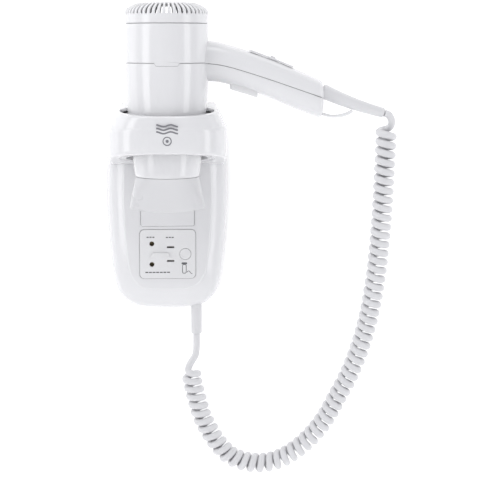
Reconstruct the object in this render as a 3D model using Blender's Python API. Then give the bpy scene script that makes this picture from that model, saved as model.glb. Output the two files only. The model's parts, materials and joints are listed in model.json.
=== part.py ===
"""Wall-mounted hair dryer: a pistol dryer standing nose-down in the collar of its wall holder, with a
shaver socket in the holder and a coiled cord between the two.

Frame: the origin is the centre of the wall plate's back face, the wall is the plane Y = 0, the room is
towards -Y, +Z is up and +X is the side of the handle. Metres.
"""

import math

import bmesh
import bpy
import numpy as np
from mathutils import Matrix

MM = 0.001

# fits
GAP = 0.3 * MM              # between pieces that touch
RUNNING = 0.8 * MM          # round anything that turns or slides

# what the dryer and the holder share
SEAT_RADIUS = 34.0 * MM     # the barrel where it sits in the collar's rim
PANEL_DEPTH = 31.0 * MM     # front of the holder's flat panel, off the wall
BORE_TOP_RADIUS = SEAT_RADIUS + 5.5 * MM
AXIS_Y = -(PANEL_DEPTH + BORE_TOP_RADIUS + 1.5 * MM)   # the barrel's axis

# holder
PLATE_THICK = 2.5 * MM
COVER_WALL = 2.4 * MM
COVER_HALF_WIDTH = 55.4 * MM
COVER_TOP = 95.5 * MM
COVER_BOTTOM = -94.8 * MM
COLLAR_HALF_WIDTH = BORE_TOP_RADIUS + 12.5 * MM
COLLAR_DEPTH = BORE_TOP_RADIUS - AXIS_Y + 5.3 * MM      # front of the collar, off the wall
COLLAR_RIM = 92.0 * MM      # height of the rim beside the barrel
COLLAR_RIM_SLOPE = 4.0      # degrees, down to the front
COLLAR_FOOT = 49.7 * MM     # height of the underside beside the barrel
COLLAR_FOOT_SLOPE = 10.5    # degrees, up to the front
LINER_WALL = 1.2 * MM         # at the rim; the cone thickens it to the foot
SEAT_RIBS = 6

# shaver socket
SOCKET_WIDTH = 50.8 * MM
SOCKET_HEIGHT = 45.0 * MM
SOCKET_CENTRE_Z = -40.7 * MM
SOCKET_THICK = 2.4 * MM
SOCKET_PROUD = 0.5 * MM
ROUND_PIN_PITCH = 19.0 * MM
ROUND_PIN_HOLE = 4.5 * MM
ROUND_PIN_X = -14.4 * MM
FLAT_PIN_PITCH = 12.7 * MM
FLAT_PIN_SLOT = (6.7 * MM, 1.65 * MM)
FLAT_PIN_X = 2.7 * MM
PLUG_RADIUS = 5.1 * MM
PLUG_X = 16.1 * MM
PAD_HALF_WIDTH = 24.2 * MM
PAD_BOTTOM = -14.8 * MM
PAD_TOP = 30.0 * MM
PAD_PROUD = 1.2 * MM

# dryer
SHELL_WALL = 2.0 * MM
CAP_SEAM = 165.7 * MM
CAP_RIM = 175.5 * MM
CAP_APEX = 186.0 * MM
SHELL_SEAM = 132.7 * MM
BARREL_END = 35.3 * MM
BARREL_RADIUS = SEAT_RADIUS + 2.0 * MM                  # at its widest
BARREL_END_RADIUS = SEAT_RADIUS - 6.1 * MM
CAP_SLOTS = 50
CAP_SLOT_WIDTH = 1.9 * MM
DOME_FLATNESS = 0.86
NOZZLE_MOUTH = (SEAT_RADIUS - RUNNING, 9.5 * MM)        # half width, half depth
BORE_FOOT_RADIUS = NOZZLE_MOUTH[0] + 2.4 * MM
NOZZLE_CORNER_Z = 7.5 * MM
NOZZLE_LIP_DROP = 3.6 * MM
NOZZLE_WALL = 1.6 * MM
HANDLE_DEPTH = 15.0 * MM    # half the handle's size front to back
HANDLE_END_X = 134.0 * MM
FAN_BLADES = 7
MOTOR_RADIUS = 14.0 * MM
SHAFT_RADIUS = 1.15 * MM
MICA_THICK = 0.8 * MM
HEATER_TURNS = 7
HEATER_WIRE = 1.4 * MM

# cord
CORD_RADIUS = 3.15 * MM
COIL_RADIUS = 9.3 * MM
SLEEVE_X = 26.5 * MM
SLEEVE_Y = -15.0 * MM
SLEEVE_RADIUS = 4.95 * MM
SLEEVE_BOTTOM = -118.0 * MM

STEPS = 40                  # sides of a large round piece
SMALL_STEPS = 20


# ---------------------------------------------------------------- tools

def clear_scene():
    for obj in list(bpy.data.objects):
        bpy.data.objects.remove(obj, do_unlink=True)


def material(name, colour, roughness=0.3, metallic=0.0):
    made = bpy.data.materials.new(name)
    made.use_nodes = True
    shader = made.node_tree.nodes["Principled BSDF"]
    shader.inputs["Base Color"].default_value = (*colour, 1.0)
    shader.inputs["Roughness"].default_value = roughness
    shader.inputs["Metallic"].default_value = metallic
    made.diffuse_color = (*colour, 1.0)
    return made


WHITE = (0.86, 0.86, 0.87)
COLOURS = {
    "white": (WHITE, 0.22, 0.0),
    "face": ((0.84, 0.84, 0.85), 0.35, 0.0),
    "flex": ((0.80, 0.80, 0.81), 0.5, 0.0),
    "grey": ((0.55, 0.55, 0.56), 0.4, 0.0),
    "dark": ((0.05, 0.05, 0.055), 0.5, 0.0),
    "steel": ((0.6, 0.6, 0.62), 0.3, 1.0),
    "brass": ((0.75, 0.58, 0.28), 0.3, 1.0),
    "copper": ((0.72, 0.38, 0.2), 0.35, 1.0),
    "mica": ((0.62, 0.55, 0.42), 0.6, 0.0),
}


def make(name, points, faces, finish=None):
    """A mesh object from points and faces. Without a finish it is a cutter, which isn't a piece."""
    mesh = bpy.data.meshes.new(name)
    mesh.from_pydata([tuple(map(float, point)) for point in points], [], faces)
    mesh.update()
    obj = bpy.data.objects.new(name, mesh)
    bpy.context.scene.collection.objects.link(obj)
    if finish is None:
        obj.hide_render = True
        obj.display_type = "WIRE"
    else:
        obj.data.materials.append(material(name, *COLOURS[finish]))
        mesh.shade_smooth()
        mesh.set_sharp_from_angle(angle=math.radians(32))
    return obj


def loft(name, rings, finish=None, loop=False):
    """Rings of equal count joined in order. Both ends are capped, or the last joins the first."""
    rings = np.asarray(rings, float)
    count, sides = rings.shape[:2]
    index = np.arange(count * sides).reshape(count, sides)
    if loop:
        index = np.vstack([index, index[:1]])
    low, high = index[:-1], index[1:]
    quads = np.stack([low, np.roll(low, -1, 1), np.roll(high, -1, 1), high], -1)
    faces = quads.reshape(-1, 4).tolist()
    if not loop:
        faces += [index[0][::-1].tolist(), index[-1].tolist()]
    obj = make(name, rings.reshape(-1, 3), faces, finish)
    face_outwards(obj.data)
    return obj


def face_outwards(mesh):
    shape = bmesh.new()
    shape.from_mesh(mesh)
    bmesh.ops.recalc_face_normals(shape, faces=shape.faces)
    if shape.calc_volume(signed=True) < 0:
        bmesh.ops.reverse_faces(shape, faces=shape.faces)
    shape.to_mesh(mesh)
    shape.free()


def turned(name, profile, finish=None, centre=(0.0, AXIS_Y), steps=STEPS, closed=False):
    """A profile of (radius, z) turned about a vertical axis. A closed profile makes a ring."""
    angles = np.linspace(0, 2 * math.pi, steps, endpoint=False)
    rings = [
        np.column_stack([
            centre[0] + radius * np.cos(angles),
            centre[1] + radius * np.sin(angles),
            np.full(steps, z),
        ])
        for radius, z in profile
    ]
    return loft(name, rings, finish, loop=closed)


def prism(name, outline, near, far, finish=None, axis=1):
    """An outline in the plane across the axis, drawn out along it from near to far."""
    outline = np.asarray(outline, float)
    rings = []
    for level in (near, far):
        ring = np.insert(outline, axis, level, axis=1)
        rings.append(ring)
    return loft(name, rings, finish)


def box(name, low, high, finish=None):
    outline = [(low[0], low[2]), (high[0], low[2]), (high[0], high[2]), (low[0], high[2])]
    return prism(name, outline, low[1], high[1], finish)


def cylinder(name, centre, radius, near, far, finish=None, axis=1, steps=SMALL_STEPS):
    """A round bar along an axis. The centre gives the two other coordinates."""
    angles = np.linspace(0, 2 * math.pi, steps, endpoint=False)
    outline = np.column_stack([centre[0] + radius * np.cos(angles), centre[1] + radius * np.sin(angles)])
    return prism(name, outline, near, far, finish, axis)


def rounded(width, height, radius, centre=(0.0, 0.0), corner_steps=5):
    """A rectangle's outline with round corners."""
    outline = []
    for turn, (side_x, side_z) in enumerate([(1, 1), (-1, 1), (-1, -1), (1, -1)]):
        for angle in np.linspace(0, math.pi / 2, corner_steps) + turn * math.pi / 2:
            outline.append((
                centre[0] + side_x * (width / 2 - radius) + radius * math.cos(angle),
                centre[1] + side_z * (height / 2 - radius) + radius * math.sin(angle),
            ))
    return outline


def combine(obj, other, operation):
    step = obj.modifiers.new(f"{operation.lower()}_{other.name}", "BOOLEAN")
    step.operation = operation
    step.solver = "EXACT"
    step.object = other
    other.hide_render = True
    other.display_type = "WIRE"


def cut(obj, *cutters):
    for cutter in cutters:
        combine(obj, cutter, "DIFFERENCE")


def join(obj, *others):
    for other in others:
        combine(obj, other, "UNION")


def smooth_path(points, step):
    """Points at even steps along a smooth curve through the given ones (centripetal Catmull-Rom)."""
    points = np.asarray(points, float)
    ends = [2 * points[0] - points[1], *points, 2 * points[-1] - points[-2]]
    fine = []
    for p0, p1, p2, p3 in zip(ends, ends[1:], ends[2:], ends[3:]):
        t = np.linspace(0, 1, 12, endpoint=False)[:, None]
        fine.append(0.5 * (2 * p1 + (p2 - p0) * t + (2 * p0 - 5 * p1 + 4 * p2 - p3) * t**2
                           + (3 * p1 - p0 - 3 * p2 + p3) * t**3))
    fine = np.vstack([*fine, points[-1:]])
    run = np.concatenate([[0], np.cumsum(np.linalg.norm(np.diff(fine, axis=0), axis=1))])
    places = np.linspace(0, run[-1], max(2, round(run[-1] / step) + 1))
    return np.column_stack([np.interp(places, run, fine[:, k]) for k in range(3)])


def tube(name, path, radius, finish, resolution=2):
    """A round bar along a path: a poly curve with a bevel and filled caps."""
    curve = bpy.data.curves.new(name, "CURVE")
    curve.dimensions = "3D"
    curve.bevel_depth = radius
    curve.bevel_resolution = resolution
    curve.use_fill_caps = True
    line = curve.splines.new("POLY")
    line.points.add(len(path) - 1)
    for place, point in zip(line.points, path):
        place.co = (*map(float, point), 1.0)
    line.use_smooth = True
    obj = bpy.data.objects.new(name, curve)
    bpy.context.scene.collection.objects.link(obj)
    curve.materials.append(material(name, *COLOURS[finish]))
    return obj


def tapered(name, path, radii, finish=None, steps=16, flat=(0, 1, 0)):
    """A round bar along a path whose radius changes. Its sections stay square to the path."""
    path = np.asarray(path, float)
    along = np.gradient(path, axis=0)
    along /= np.linalg.norm(along, axis=1)[:, None]
    side = np.asarray(flat, float)
    angles = np.linspace(0, 2 * math.pi, steps, endpoint=False)
    rings = []
    for point, way, radius in zip(path, along, radii):
        first = side - way * side.dot(way)
        first /= np.linalg.norm(first)
        second = np.cross(way, first)
        rings.append(point + radius * (np.outer(np.cos(angles), first) + np.outer(np.sin(angles), second)))
    return loft(name, rings, finish)


# ---------------------------------------------------------------- holder

# Half of the cover's outline at the wall, from the top down: (half width, height).
COVER_OUTLINE = [
    (0.0, 1.0), (0.36, 1.0), (0.63, 0.995), (0.79, 0.95), (0.87, 0.87), (0.945, 0.76),
    (0.98, 0.6), (1.0, 0.12), (0.968, -0.3), (0.935, -0.5), (0.895, -0.68), (0.83, -0.82),
    (0.72, -0.91), (0.58, -0.965), (0.38, -0.992), (0.0, -1.0),
]
# Depth off the wall, and the outline's scale there in width and in height.
COVER_LEVELS = [
    (1.0, 1.0, 1.0), (10.0, 1.0, 1.0), (15.0, 0.99, 0.992), (19.0, 0.965, 0.975),
    (22.0, 0.93, 0.95), (26.0, 0.85, 0.885), (28.8, 0.765, 0.815), (29.4, 0.735, 0.79),
]
PANEL_SCALE = (0.716, 0.774)


def cover_outline(scale_x=1.0, scale_z=1.0, inset=0.0):
    half = [
        (x * COVER_HALF_WIDTH, z * (COVER_TOP if z > 0 else -COVER_BOTTOM), 0.0)
        for x, z in COVER_OUTLINE
    ]
    line = smooth_path(half, 9 * MM)[:, :2]
    line[0, 0] = line[-1, 0] = 0.0
    whole = np.vstack([line, line[-2:0:-1] * (-1, 1)])
    shrink = 1 - inset / COVER_HALF_WIDTH, 1 - inset / COVER_TOP
    return whole * (scale_x * shrink[0], scale_z * shrink[1])


def cover_body(name, inset, finish=None):
    """The cover's dish, from its edge at the wall to the flat panel."""
    rings = []
    start = 1.0 * MM if inset == 0 else -5 * MM
    for depth, scale_x, scale_z in COVER_LEVELS if inset == 0 else COVER_LEVELS[::2]:
        depth = max(depth * MM - inset, start)
        outline = cover_outline(scale_x, scale_z, inset)
        rings.append(np.insert(outline, 1, -depth if rings else -start, axis=1))
    outline = cover_outline(*PANEL_SCALE, inset)
    rings.append(np.insert(outline, 1, -(PANEL_DEPTH - inset), axis=1))
    return loft(name, rings, finish)


# Share of the way from the collar's foot to its rim, and how far its sides and its front draw in there.
COLLAR_LEVELS = [
    (0.0, 1.4, 1.6), (0.04, 0.4, 0.8), (0.25, 0.0, 0.2), (0.57, 0.1, 0.0), (0.67, 1.1, 0.3),
    (0.706, 1.8, 0.7), (0.83, 4.5, 1.9), (0.95, 7.0, 3.0), (1.0, 8.8, 3.9),
]


def collar_outline(half_width, front, back, corner_start=62 * MM, power=3.1, steps=12):
    """The collar in plan: straight sides, then a superellipse quarter round to the front."""
    quarter = np.linspace(0, math.pi / 2, steps)
    side = half_width * np.cos(quarter) ** (2 / power)
    depth = corner_start + (front - corner_start) * np.sin(quarter) ** (2 / power)
    right = np.vstack([[(half_width, back)], np.column_stack([side, depth])])
    return np.vstack([right, right[-2::-1] * (-1, 1)])


def collar_foot(depth):
    return COLLAR_FOOT + (depth + AXIS_Y) * math.tan(math.radians(COLLAR_FOOT_SLOPE))


def collar_rim(depth):
    return COLLAR_RIM - (depth + AXIS_Y) * math.tan(math.radians(COLLAR_RIM_SLOPE))


def collar_body(name, inset, back):
    rings = []
    for share, side_in, front_in in COLLAR_LEVELS:
        half_width = COLLAR_HALF_WIDTH - side_in * MM - inset
        plan = collar_outline(half_width, COLLAR_DEPTH - front_in * MM - inset, back)
        foot = collar_foot(plan[:, 1]) + inset
        rim = collar_rim(plan[:, 1]) - inset
        rings.append(np.column_stack([plan[:, 0], -plan[:, 1], foot + share * (rim - foot)]))
    return loft(name, rings)


def bore_radius(z):
    """The liner's inner radius, a cone from the rim to the foot."""
    share = (z - COLLAR_FOOT) / (COLLAR_RIM - COLLAR_FOOT)
    return BORE_FOOT_RADIUS + (BORE_TOP_RADIUS - BORE_FOOT_RADIUS) * share


LINER_RADIUS = BORE_TOP_RADIUS + LINER_WALL

SCREW_PLACES = {"cover_screw_upper": (0.0, 8.0 * MM), "cover_screw_lower": (PLUG_X, SOCKET_CENTRE_Z)}
SCREW_RADIUS = 1.6 * MM
SCREW_HEAD_RADIUS = 3.4 * MM
BOSS_RADIUS = 4.2 * MM
BOSS_TOP = PANEL_DEPTH - 13.0 * MM
HEAD_SEAT = PANEL_DEPTH - 6.4 * MM


def wall_plate():
    outline = cover_outline(0.94, 0.96)
    plate = prism("wall_plate", outline, 0.0, -PLATE_THICK, "grey")
    for name, place in SCREW_PLACES.items():
        join(plate, cylinder(f"boss_{name}", place, BOSS_RADIUS, -1 * MM, -BOSS_TOP))
        cut(plate, cylinder(f"pilot_{name}", place, SCREW_RADIUS + GAP, -6 * MM, -BOSS_TOP - MM, steps=12))
    for height in (72 * MM, -76 * MM):
        cut(plate, cylinder(f"wall_hole_{height > 0}", (0.0, height), 2.6 * MM, MM, -4 * MM, steps=12))
    cut(plate, cylinder("mains_entry", (-24 * MM, 52 * MM), 8 * MM, MM, -4 * MM))


def holder_cover():
    """A hollow dish and, joined to it, the hollow collar, with every opening cut; then the two part."""
    cover = cover_body("holder_cover", 0.0, "white")
    join(cover, collar_body("collar_outer", 0.0, 12 * MM))
    cut(cover, cover_body("dish_inside", COVER_WALL))
    cut(cover, collar_body("collar_inside", COVER_WALL, PANEL_DEPTH + 0.2 * MM))
    bore = [(LINER_RADIUS + GAP, COLLAR_FOOT - 12 * MM), (LINER_RADIUS + GAP, COLLAR_RIM + 7 * MM)]
    cut(cover, turned("collar_bore", bore))
    socket = rounded(SOCKET_WIDTH + 2 * GAP, SOCKET_HEIGHT + 2 * GAP, 4.2 * MM, (0.0, SOCKET_CENTRE_Z), 4)
    cut(cover, prism("socket_opening", socket, -20 * MM, -40 * MM))
    pad = rounded(2 * (PAD_HALF_WIDTH + GAP), PAD_TOP - PAD_BOTTOM + 2 * GAP, 1.6 * MM,
                  (0.0, (PAD_TOP + PAD_BOTTOM) / 2), 3)
    cut(cover, prism("pad_recess", pad, -(PANEL_DEPTH - 1.0 * MM), -40 * MM))
    cut(cover, cylinder("screw_hole", SCREW_PLACES["cover_screw_upper"], SCREW_HEAD_RADIUS + GAP,
                        -20 * MM, -40 * MM, steps=16))
    sleeve = cylinder("sleeve_hole", (SLEEVE_X, SLEEVE_Y), SLEEVE_RADIUS + GAP, -110 * MM, -70 * MM, axis=2)
    cut(cover, sleeve)
    split_collar(cover)


def split_collar(cover):
    """The collar is its own moulding, and meets the cover just in front of the panel."""
    collar = cover.copy()
    collar.data = cover.data.copy()
    collar.name = "holder_collar"
    bpy.context.collection.objects.link(collar)
    meeting, reach = -(PANEL_DEPTH + 1.6 * MM), 200 * MM
    cut(cover, box("collar_region", (-reach, -reach, -reach), (reach, meeting, reach)))
    cut(collar, box("cover_region", (-reach, meeting - GAP, -reach), (reach, reach, reach)))


def collar_liner():
    """A tapered bore inside the collar, slanted off along its foot, with ribs that the barrel sits on."""
    low, high = COLLAR_FOOT - 10 * MM, COLLAR_RIM - 3.2 * MM
    profile = [
        (bore_radius(low), low), (LINER_RADIUS, low), (LINER_RADIUS, high), (bore_radius(high), high),
    ]
    liner = turned("collar_liner", profile, "face", closed=True)
    back, front = 20 * MM, 130 * MM
    slant = [(-back, collar_foot(back) + 0.8 * MM), (-front, collar_foot(front) + 0.8 * MM),
             (-front, low - 10 * MM), (-back, low - 10 * MM)]
    cut(liner, prism("foot_slant", slant, -60 * MM, 60 * MM, axis=0))
    seat = barrel_radius(high) + GAP
    for place in range(SEAT_RIBS):
        turn = 2 * math.pi * (place + 0.5) / SEAT_RIBS
        thick = 1.2 * MM
        near, far = seat, bore_radius(high) + 0.6 * MM
        rib = []
        for z, outer in ((high - 9 * MM, bore_radius(high - 9 * MM) + 0.6 * MM), (high - 1 * MM, far)):
            inner = max(near, barrel_radius(z) + GAP, NOZZLE_MOUTH[0] + RUNNING)
            ring = [(inner, -thick), (outer, -thick), (outer, thick), (inner, thick)]
            rib.append([
                (u * math.cos(turn) - v * math.sin(turn), AXIS_Y + u * math.sin(turn) + v * math.cos(turn), z)
                for u, v in ring
            ])
        join(liner, loft(f"seat_rib_{place}", rib))


def socket_face():
    outline = rounded(SOCKET_WIDTH, SOCKET_HEIGHT, 4.0 * MM, (0.0, SOCKET_CENTRE_Z), 4)
    front = PANEL_DEPTH + SOCKET_PROUD
    plate = prism("socket_face", outline, -(front - SOCKET_THICK), -front, "face")
    ridge = [
        (-15.6 * MM, SOCKET_CENTRE_Z - 2.8 * MM), (2.4 * MM, SOCKET_CENTRE_Z - 2.8 * MM),
        (0.6 * MM, SOCKET_CENTRE_Z + 1.3 * MM), (-13.2 * MM, SOCKET_CENTRE_Z + 1.3 * MM),
    ]
    join(plate, prism("plug_ridge", ridge, -(front - MM), -(front + 1.2 * MM)))
    for side in (1, -1):
        height = SOCKET_CENTRE_Z + side * ROUND_PIN_PITCH / 2
        hole = cylinder(f"round_hole_{side}", (ROUND_PIN_X, height), ROUND_PIN_HOLE / 2, -20 * MM, -40 * MM)
        cut(plate, hole)
        height = SOCKET_CENTRE_Z + side * FLAT_PIN_PITCH / 2
        slot = rounded(*FLAT_PIN_SLOT, 0.3 * MM, (FLAT_PIN_X, height), 2)
        cut(plate, prism(f"flat_slot_{side}", slot, -20 * MM, -40 * MM))
    plug_place = (PLUG_X, SOCKET_CENTRE_Z)
    cut(plate, cylinder("plug_hole", plug_place, PLUG_RADIUS + GAP, -20 * MM, -40 * MM))
    cylinder("screw_plug", plug_place, PLUG_RADIUS, -(front - 2.0 * MM), -front, "face")


def screw_cover():
    middle = (0.0, (PAD_TOP + PAD_BOTTOM) / 2)
    back = PANEL_DEPTH - 1.0 * MM + GAP
    outline = rounded(2 * PAD_HALF_WIDTH, PAD_TOP - PAD_BOTTOM, 1.4 * MM, middle, 3)
    prism("screw_cover", outline, -back, -(PANEL_DEPTH + PAD_PROUD), "white")


def cover_screws():
    for name, place in SCREW_PLACES.items():
        seat = HEAD_SEAT if name == "cover_screw_upper" else HEAD_SEAT - 3 * MM
        screw = cylinder(name, place, SCREW_RADIUS, -8 * MM, -seat - MM, "steel", steps=12)
        join(screw, cylinder(f"head_{name}", place, SCREW_HEAD_RADIUS, -seat, -seat - 2.4 * MM, steps=16))


def socket_inside():
    """Contacts behind the pin holes, the isolating transformer that feeds them and the mains terminals."""
    back = PANEL_DEPTH + SOCKET_PROUD - SOCKET_THICK - GAP
    for side, name in ((1, "round_contact_upper"), (-1, "round_contact_lower")):
        place = (ROUND_PIN_X, SOCKET_CENTRE_Z + side * ROUND_PIN_PITCH / 2)
        contact = cylinder(name, place, 3.0 * MM, -back, -(back - 13 * MM), "brass", steps=12)
        cut(contact, cylinder(f"bore_{name}", place, 2.1 * MM, -40 * MM, -(back - 11 * MM), steps=12))
    for side, name in ((1, "flat_contact_upper"), (-1, "flat_contact_lower")):
        place = (FLAT_PIN_X, SOCKET_CENTRE_Z + side * FLAT_PIN_PITCH / 2)
        outer = rounded(FLAT_PIN_SLOT[0] + 2 * MM, FLAT_PIN_SLOT[1] + 1.8 * MM, 0.3 * MM, place, 2)
        contact = prism(name, outer, -back, -(back - 13 * MM), "brass")
        inner = rounded(FLAT_PIN_SLOT[0], FLAT_PIN_SLOT[1], 0.3 * MM, place, 2)
        cut(contact, prism(f"bore_{name}", inner, -40 * MM, -(back - 11 * MM)))
    core_low, core_high = (-19 * MM, -21 * MM, 22 * MM), (19 * MM, -5 * MM, 58 * MM)
    core = box("transformer_core", core_low, core_high, "steel")
    middle_z = (core_low[2] + core_high[2]) / 2
    for side in (1, -1):
        window_low = (min(side * 6 * MM, side * 13 * MM), -30 * MM, middle_z - 11 * MM)
        window_high = (max(side * 6 * MM, side * 13 * MM), 0.0, middle_z + 11 * MM)
        cut(core, box(f"window_{side}", window_low, window_high))
    coil = box("transformer_winding", (-12.5 * MM, -25 * MM, middle_z - 10.5 * MM),
               (12.5 * MM, -3.2 * MM, middle_z + 10.5 * MM), "copper")
    limb_low = (-6 * MM - GAP, core_low[1] - GAP, middle_z - 20 * MM)
    limb_high = (6 * MM + GAP, core_high[1] + GAP, middle_z + 20 * MM)
    cut(coil, box("limb_space", limb_low, limb_high))
    block = box("terminal_block", (-34 * MM, -17 * MM, -78 * MM), (-12 * MM, -3.2 * MM, -68 * MM), "grey")
    for place in range(3):
        middle = (-29.5 * MM + place * 6.5 * MM, -73 * MM)
        cut(block, cylinder(f"terminal_{place}", middle, 1.7 * MM, -9 * MM, -20 * MM, steps=10))


def cord_entry():
    """The sleeve at the cover's lower edge, and the clamp that holds the cord behind it."""
    top = -79 * MM
    profile = [
        (0.0001, top), (SLEEVE_RADIUS + 1.6 * MM, top), (SLEEVE_RADIUS + 1.6 * MM, top - 2.2 * MM),
        (SLEEVE_RADIUS, top - 2.4 * MM), (SLEEVE_RADIUS, SLEEVE_BOTTOM + MM),
        (SLEEVE_RADIUS - 0.7 * MM, SLEEVE_BOTTOM), (0.0001, SLEEVE_BOTTOM),
    ]
    turned("cord_sleeve", profile, "white", (SLEEVE_X, SLEEVE_Y), 20)
    clamp = box("cord_clamp_holder", (20 * MM, -18 * MM, -76 * MM), (33 * MM, -3.2 * MM, -69 * MM), "grey")
    cut(clamp, cylinder("clamp_bore", (SLEEVE_X, SLEEVE_Y + 3 * MM), CORD_RADIUS + GAP, -90 * MM, -60 * MM,
                        axis=2, steps=14))


# ---------------------------------------------------------------- dryer

BARREL_CURVE = [   # height, radius
    (BARREL_END, BARREL_END_RADIUS), (50.0 * MM, SEAT_RADIUS - 4.3 * MM), (70.0 * MM, SEAT_RADIUS - 2.1 * MM),
    (COLLAR_RIM, SEAT_RADIUS), (112.0 * MM, SEAT_RADIUS + 1.5 * MM), (SHELL_SEAM, BARREL_RADIUS),
    (CAP_SEAM, BARREL_RADIUS - 0.3 * MM),
]
# Handle sections: distance from the axis, height of the top and of the underside.
HANDLE_SECTIONS = [
    (20.0 * MM, 151.5 * MM, 117.2 * MM), (37.1 * MM, 151.3 * MM, 116.9 * MM),
    (46.0 * MM, 149.9 * MM, 116.0 * MM), (58.0 * MM, 146.5 * MM, 113.1 * MM),
    (71.0 * MM, 142.4 * MM, 109.2 * MM), (90.0 * MM, 135.6 * MM, 102.2 * MM),
    (109.0 * MM, 128.0 * MM, 94.2 * MM), (126.0 * MM, 120.6 * MM, 87.6 * MM),
    (131.5 * MM, 118.0 * MM, 86.0 * MM), (133.6 * MM, 116.4 * MM, 87.2 * MM),
    (HANDLE_END_X, 114.5 * MM, 89.2 * MM),
]
# The parting line between the two shells.
PARTING = [
    (36.0 * MM, SHELL_SEAM - 0.6 * MM), (50.8 * MM, 129.8 * MM), (70.4 * MM, 124.2 * MM),
    (95.0 * MM, 116.2 * MM), (HANDLE_END_X + 8 * MM, 100.0 * MM),
]


def barrel_radius(z):
    return float(np.interp(z, *zip(*BARREL_CURVE)))


def handle_rings(inset, first=0, last=None):
    """Sections across the handle: superellipses, a little flatter at the barrel."""
    angles = np.linspace(0, 2 * math.pi, 28, endpoint=False)
    power = 2 / 2.5
    rings = []
    for place, (x, top, low) in enumerate(HANDLE_SECTIONS[first:last]):
        depth = HANDLE_DEPTH - (2.0 * MM if x >= HANDLE_END_X else 0.0)
        half = (top - low) / 2 - inset
        rings.append(np.column_stack([
            np.full(len(angles), x),
            AXIS_Y + (depth - inset) * np.sign(np.cos(angles)) * np.abs(np.cos(angles)) ** power,
            (top + low) / 2 + half * np.sign(np.sin(angles)) * np.abs(np.sin(angles)) ** power,
        ]))
    return rings


def barrel_profile(inset, low, high):
    inner = [(barrel_radius(z) - inset, z) for z, _ in BARREL_CURVE if low < z < high]
    return [(barrel_radius(low) - inset, low), *inner, (barrel_radius(high) - inset, high)]


def parting_block(name, above, shift):
    """Everything above or below the parting line, which runs level across the barrel."""
    line = [(-60 * MM, SHELL_SEAM + shift), *[(x, z + shift) for x, z in PARTING]]
    edge = 220 * MM if above else 20 * MM
    outline = [*line, (line[-1][0], edge), (line[0][0], edge)]
    return prism(name, outline, AXIS_Y - 60 * MM, AXIS_Y + 60 * MM)


def shell_solid(name):
    """Barrel and handle as one hollow shell."""
    shell = turned(name, barrel_profile(0.0, BARREL_END, CAP_SEAM), "white")
    join(shell, loft(f"handle_outer_{name}", handle_rings(0.0)))
    bore = [(barrel_radius(z) - SHELL_WALL, z) for z, _ in BARREL_CURVE]
    bore = [(bore[0][0], 20 * MM), *bore, (bore[-1][0], 200 * MM)]
    cut(shell, turned(f"barrel_inside_{name}", bore))
    cut(shell, loft(f"handle_inside_{name}", handle_rings(SHELL_WALL, 0, -2)))
    return shell


BEZEL_FROM, BEZEL_TO = 71.0 * MM, 108.7 * MM    # the switch's raised plate along the handle
SLOT_SPAN = (79.0 * MM, 100.0 * MM)
SLIDER_X = 91.6 * MM
BUTTON_FROM, BUTTON_TO = 54.5 * MM, 78.0 * MM
BUTTON_X = 66.0 * MM
SPRING_TOP = 122.5 * MM


def handle_edge(x, top):
    column = 1 if top else 2
    xs = [section[0] for section in HANDLE_SECTIONS]
    return float(np.interp(x, xs, [section[column] for section in HANDLE_SECTIONS]))


def edge_block(name, start, stop, low, high, half_depth, top, finish=None, count=5):
    """A curved block along the handle's top or underside, between two heights above that edge."""
    rings = []
    for x in np.linspace(start, stop, count):
        edge = handle_edge(x, top)
        corners = [(-half_depth, low), (half_depth, low), (half_depth, high), (-half_depth, high)]
        rings.append([(x, AXIS_Y + y, edge + z) for y, z in corners])
    return loft(name, rings, finish)


def shells():
    rear = shell_solid("rear_shell")
    cut(rear, parting_block("below_parting", False, GAP / 2))
    window = edge_block("slider_window", *SLOT_SPAN, -6 * MM, 6 * MM, 3.4 * MM, True, count=3)
    cut(rear, window)
    front = shell_solid("front_shell")
    cut(front, parting_block("above_parting", True, -GAP / 2))
    hole = edge_block("button_hole", BUTTON_FROM - RUNNING, BUTTON_TO + RUNNING, -6 * MM, 8 * MM,
                      7.5 * MM + RUNNING, False, count=4)
    cut(front, hole)
    guard = cylinder("guard_hole", (AXIS_Y, GUARD_ROOT[2]), 5.6 * MM, 120 * MM, 150 * MM, axis=0, steps=16)
    cut(rear, guard)
    cut(front, guard)


GUARD_ROOT = np.array([HANDLE_END_X, AXIS_Y, 108.6 * MM])
GUARD_TIP = np.array([188.6 * MM, AXIS_Y, 89.3 * MM])


def cord_guard():
    """The tapered sleeve at the handle's end, with its flange held inside the shells."""
    path = [GUARD_ROOT + (-7.0 * MM, 0, 0), GUARD_ROOT + (-3.6 * MM, 0, 0), GUARD_ROOT + (-3.5 * MM, 0, 0),
            GUARD_ROOT + (0.9 * MM, 0, 0), GUARD_ROOT + (2.2 * MM, 0, 0)]
    collar = path[-1]
    radii = [7.6 * MM, 7.6 * MM, 5.2 * MM, 5.2 * MM, 6.4 * MM]
    for share in np.linspace(0.06, 1.0, 7):
        bend = (0, 0, -1.4 * MM * math.sin(math.pi * share))
        path.append(collar + (GUARD_TIP - collar) * share + bend)
        radii.append((6.5 - 2.3 * share ** 0.8) * MM)
    tapered("cord_guard", path, radii, "flex", 18)


def hanging_loop():
    """A flat strap that bows from the handle's lower corner up to the guard."""
    points = [(135.0, 88.6), (141.7, 86.9), (149.0, 87.0), (156.0, 88.8), (160.6, 91.0)]
    rings = []
    path = smooth_path([(x * MM, 0.0, z * MM) for x, z in points], 4 * MM)
    along = np.gradient(path, axis=0)
    along /= np.linalg.norm(along, axis=1)[:, None]
    for point, way in zip(path, along):
        across = np.array([-way[2], 0, way[0]]) * 1.3 * MM
        deep = np.array([0, 3.6 * MM, 0])
        middle = point + (0, AXIS_Y, 0)
        rings.append([middle + across + deep, middle - across + deep, middle - across - deep,
                      middle + across - deep])
    loft("hanging_loop", rings, "flex")


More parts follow.
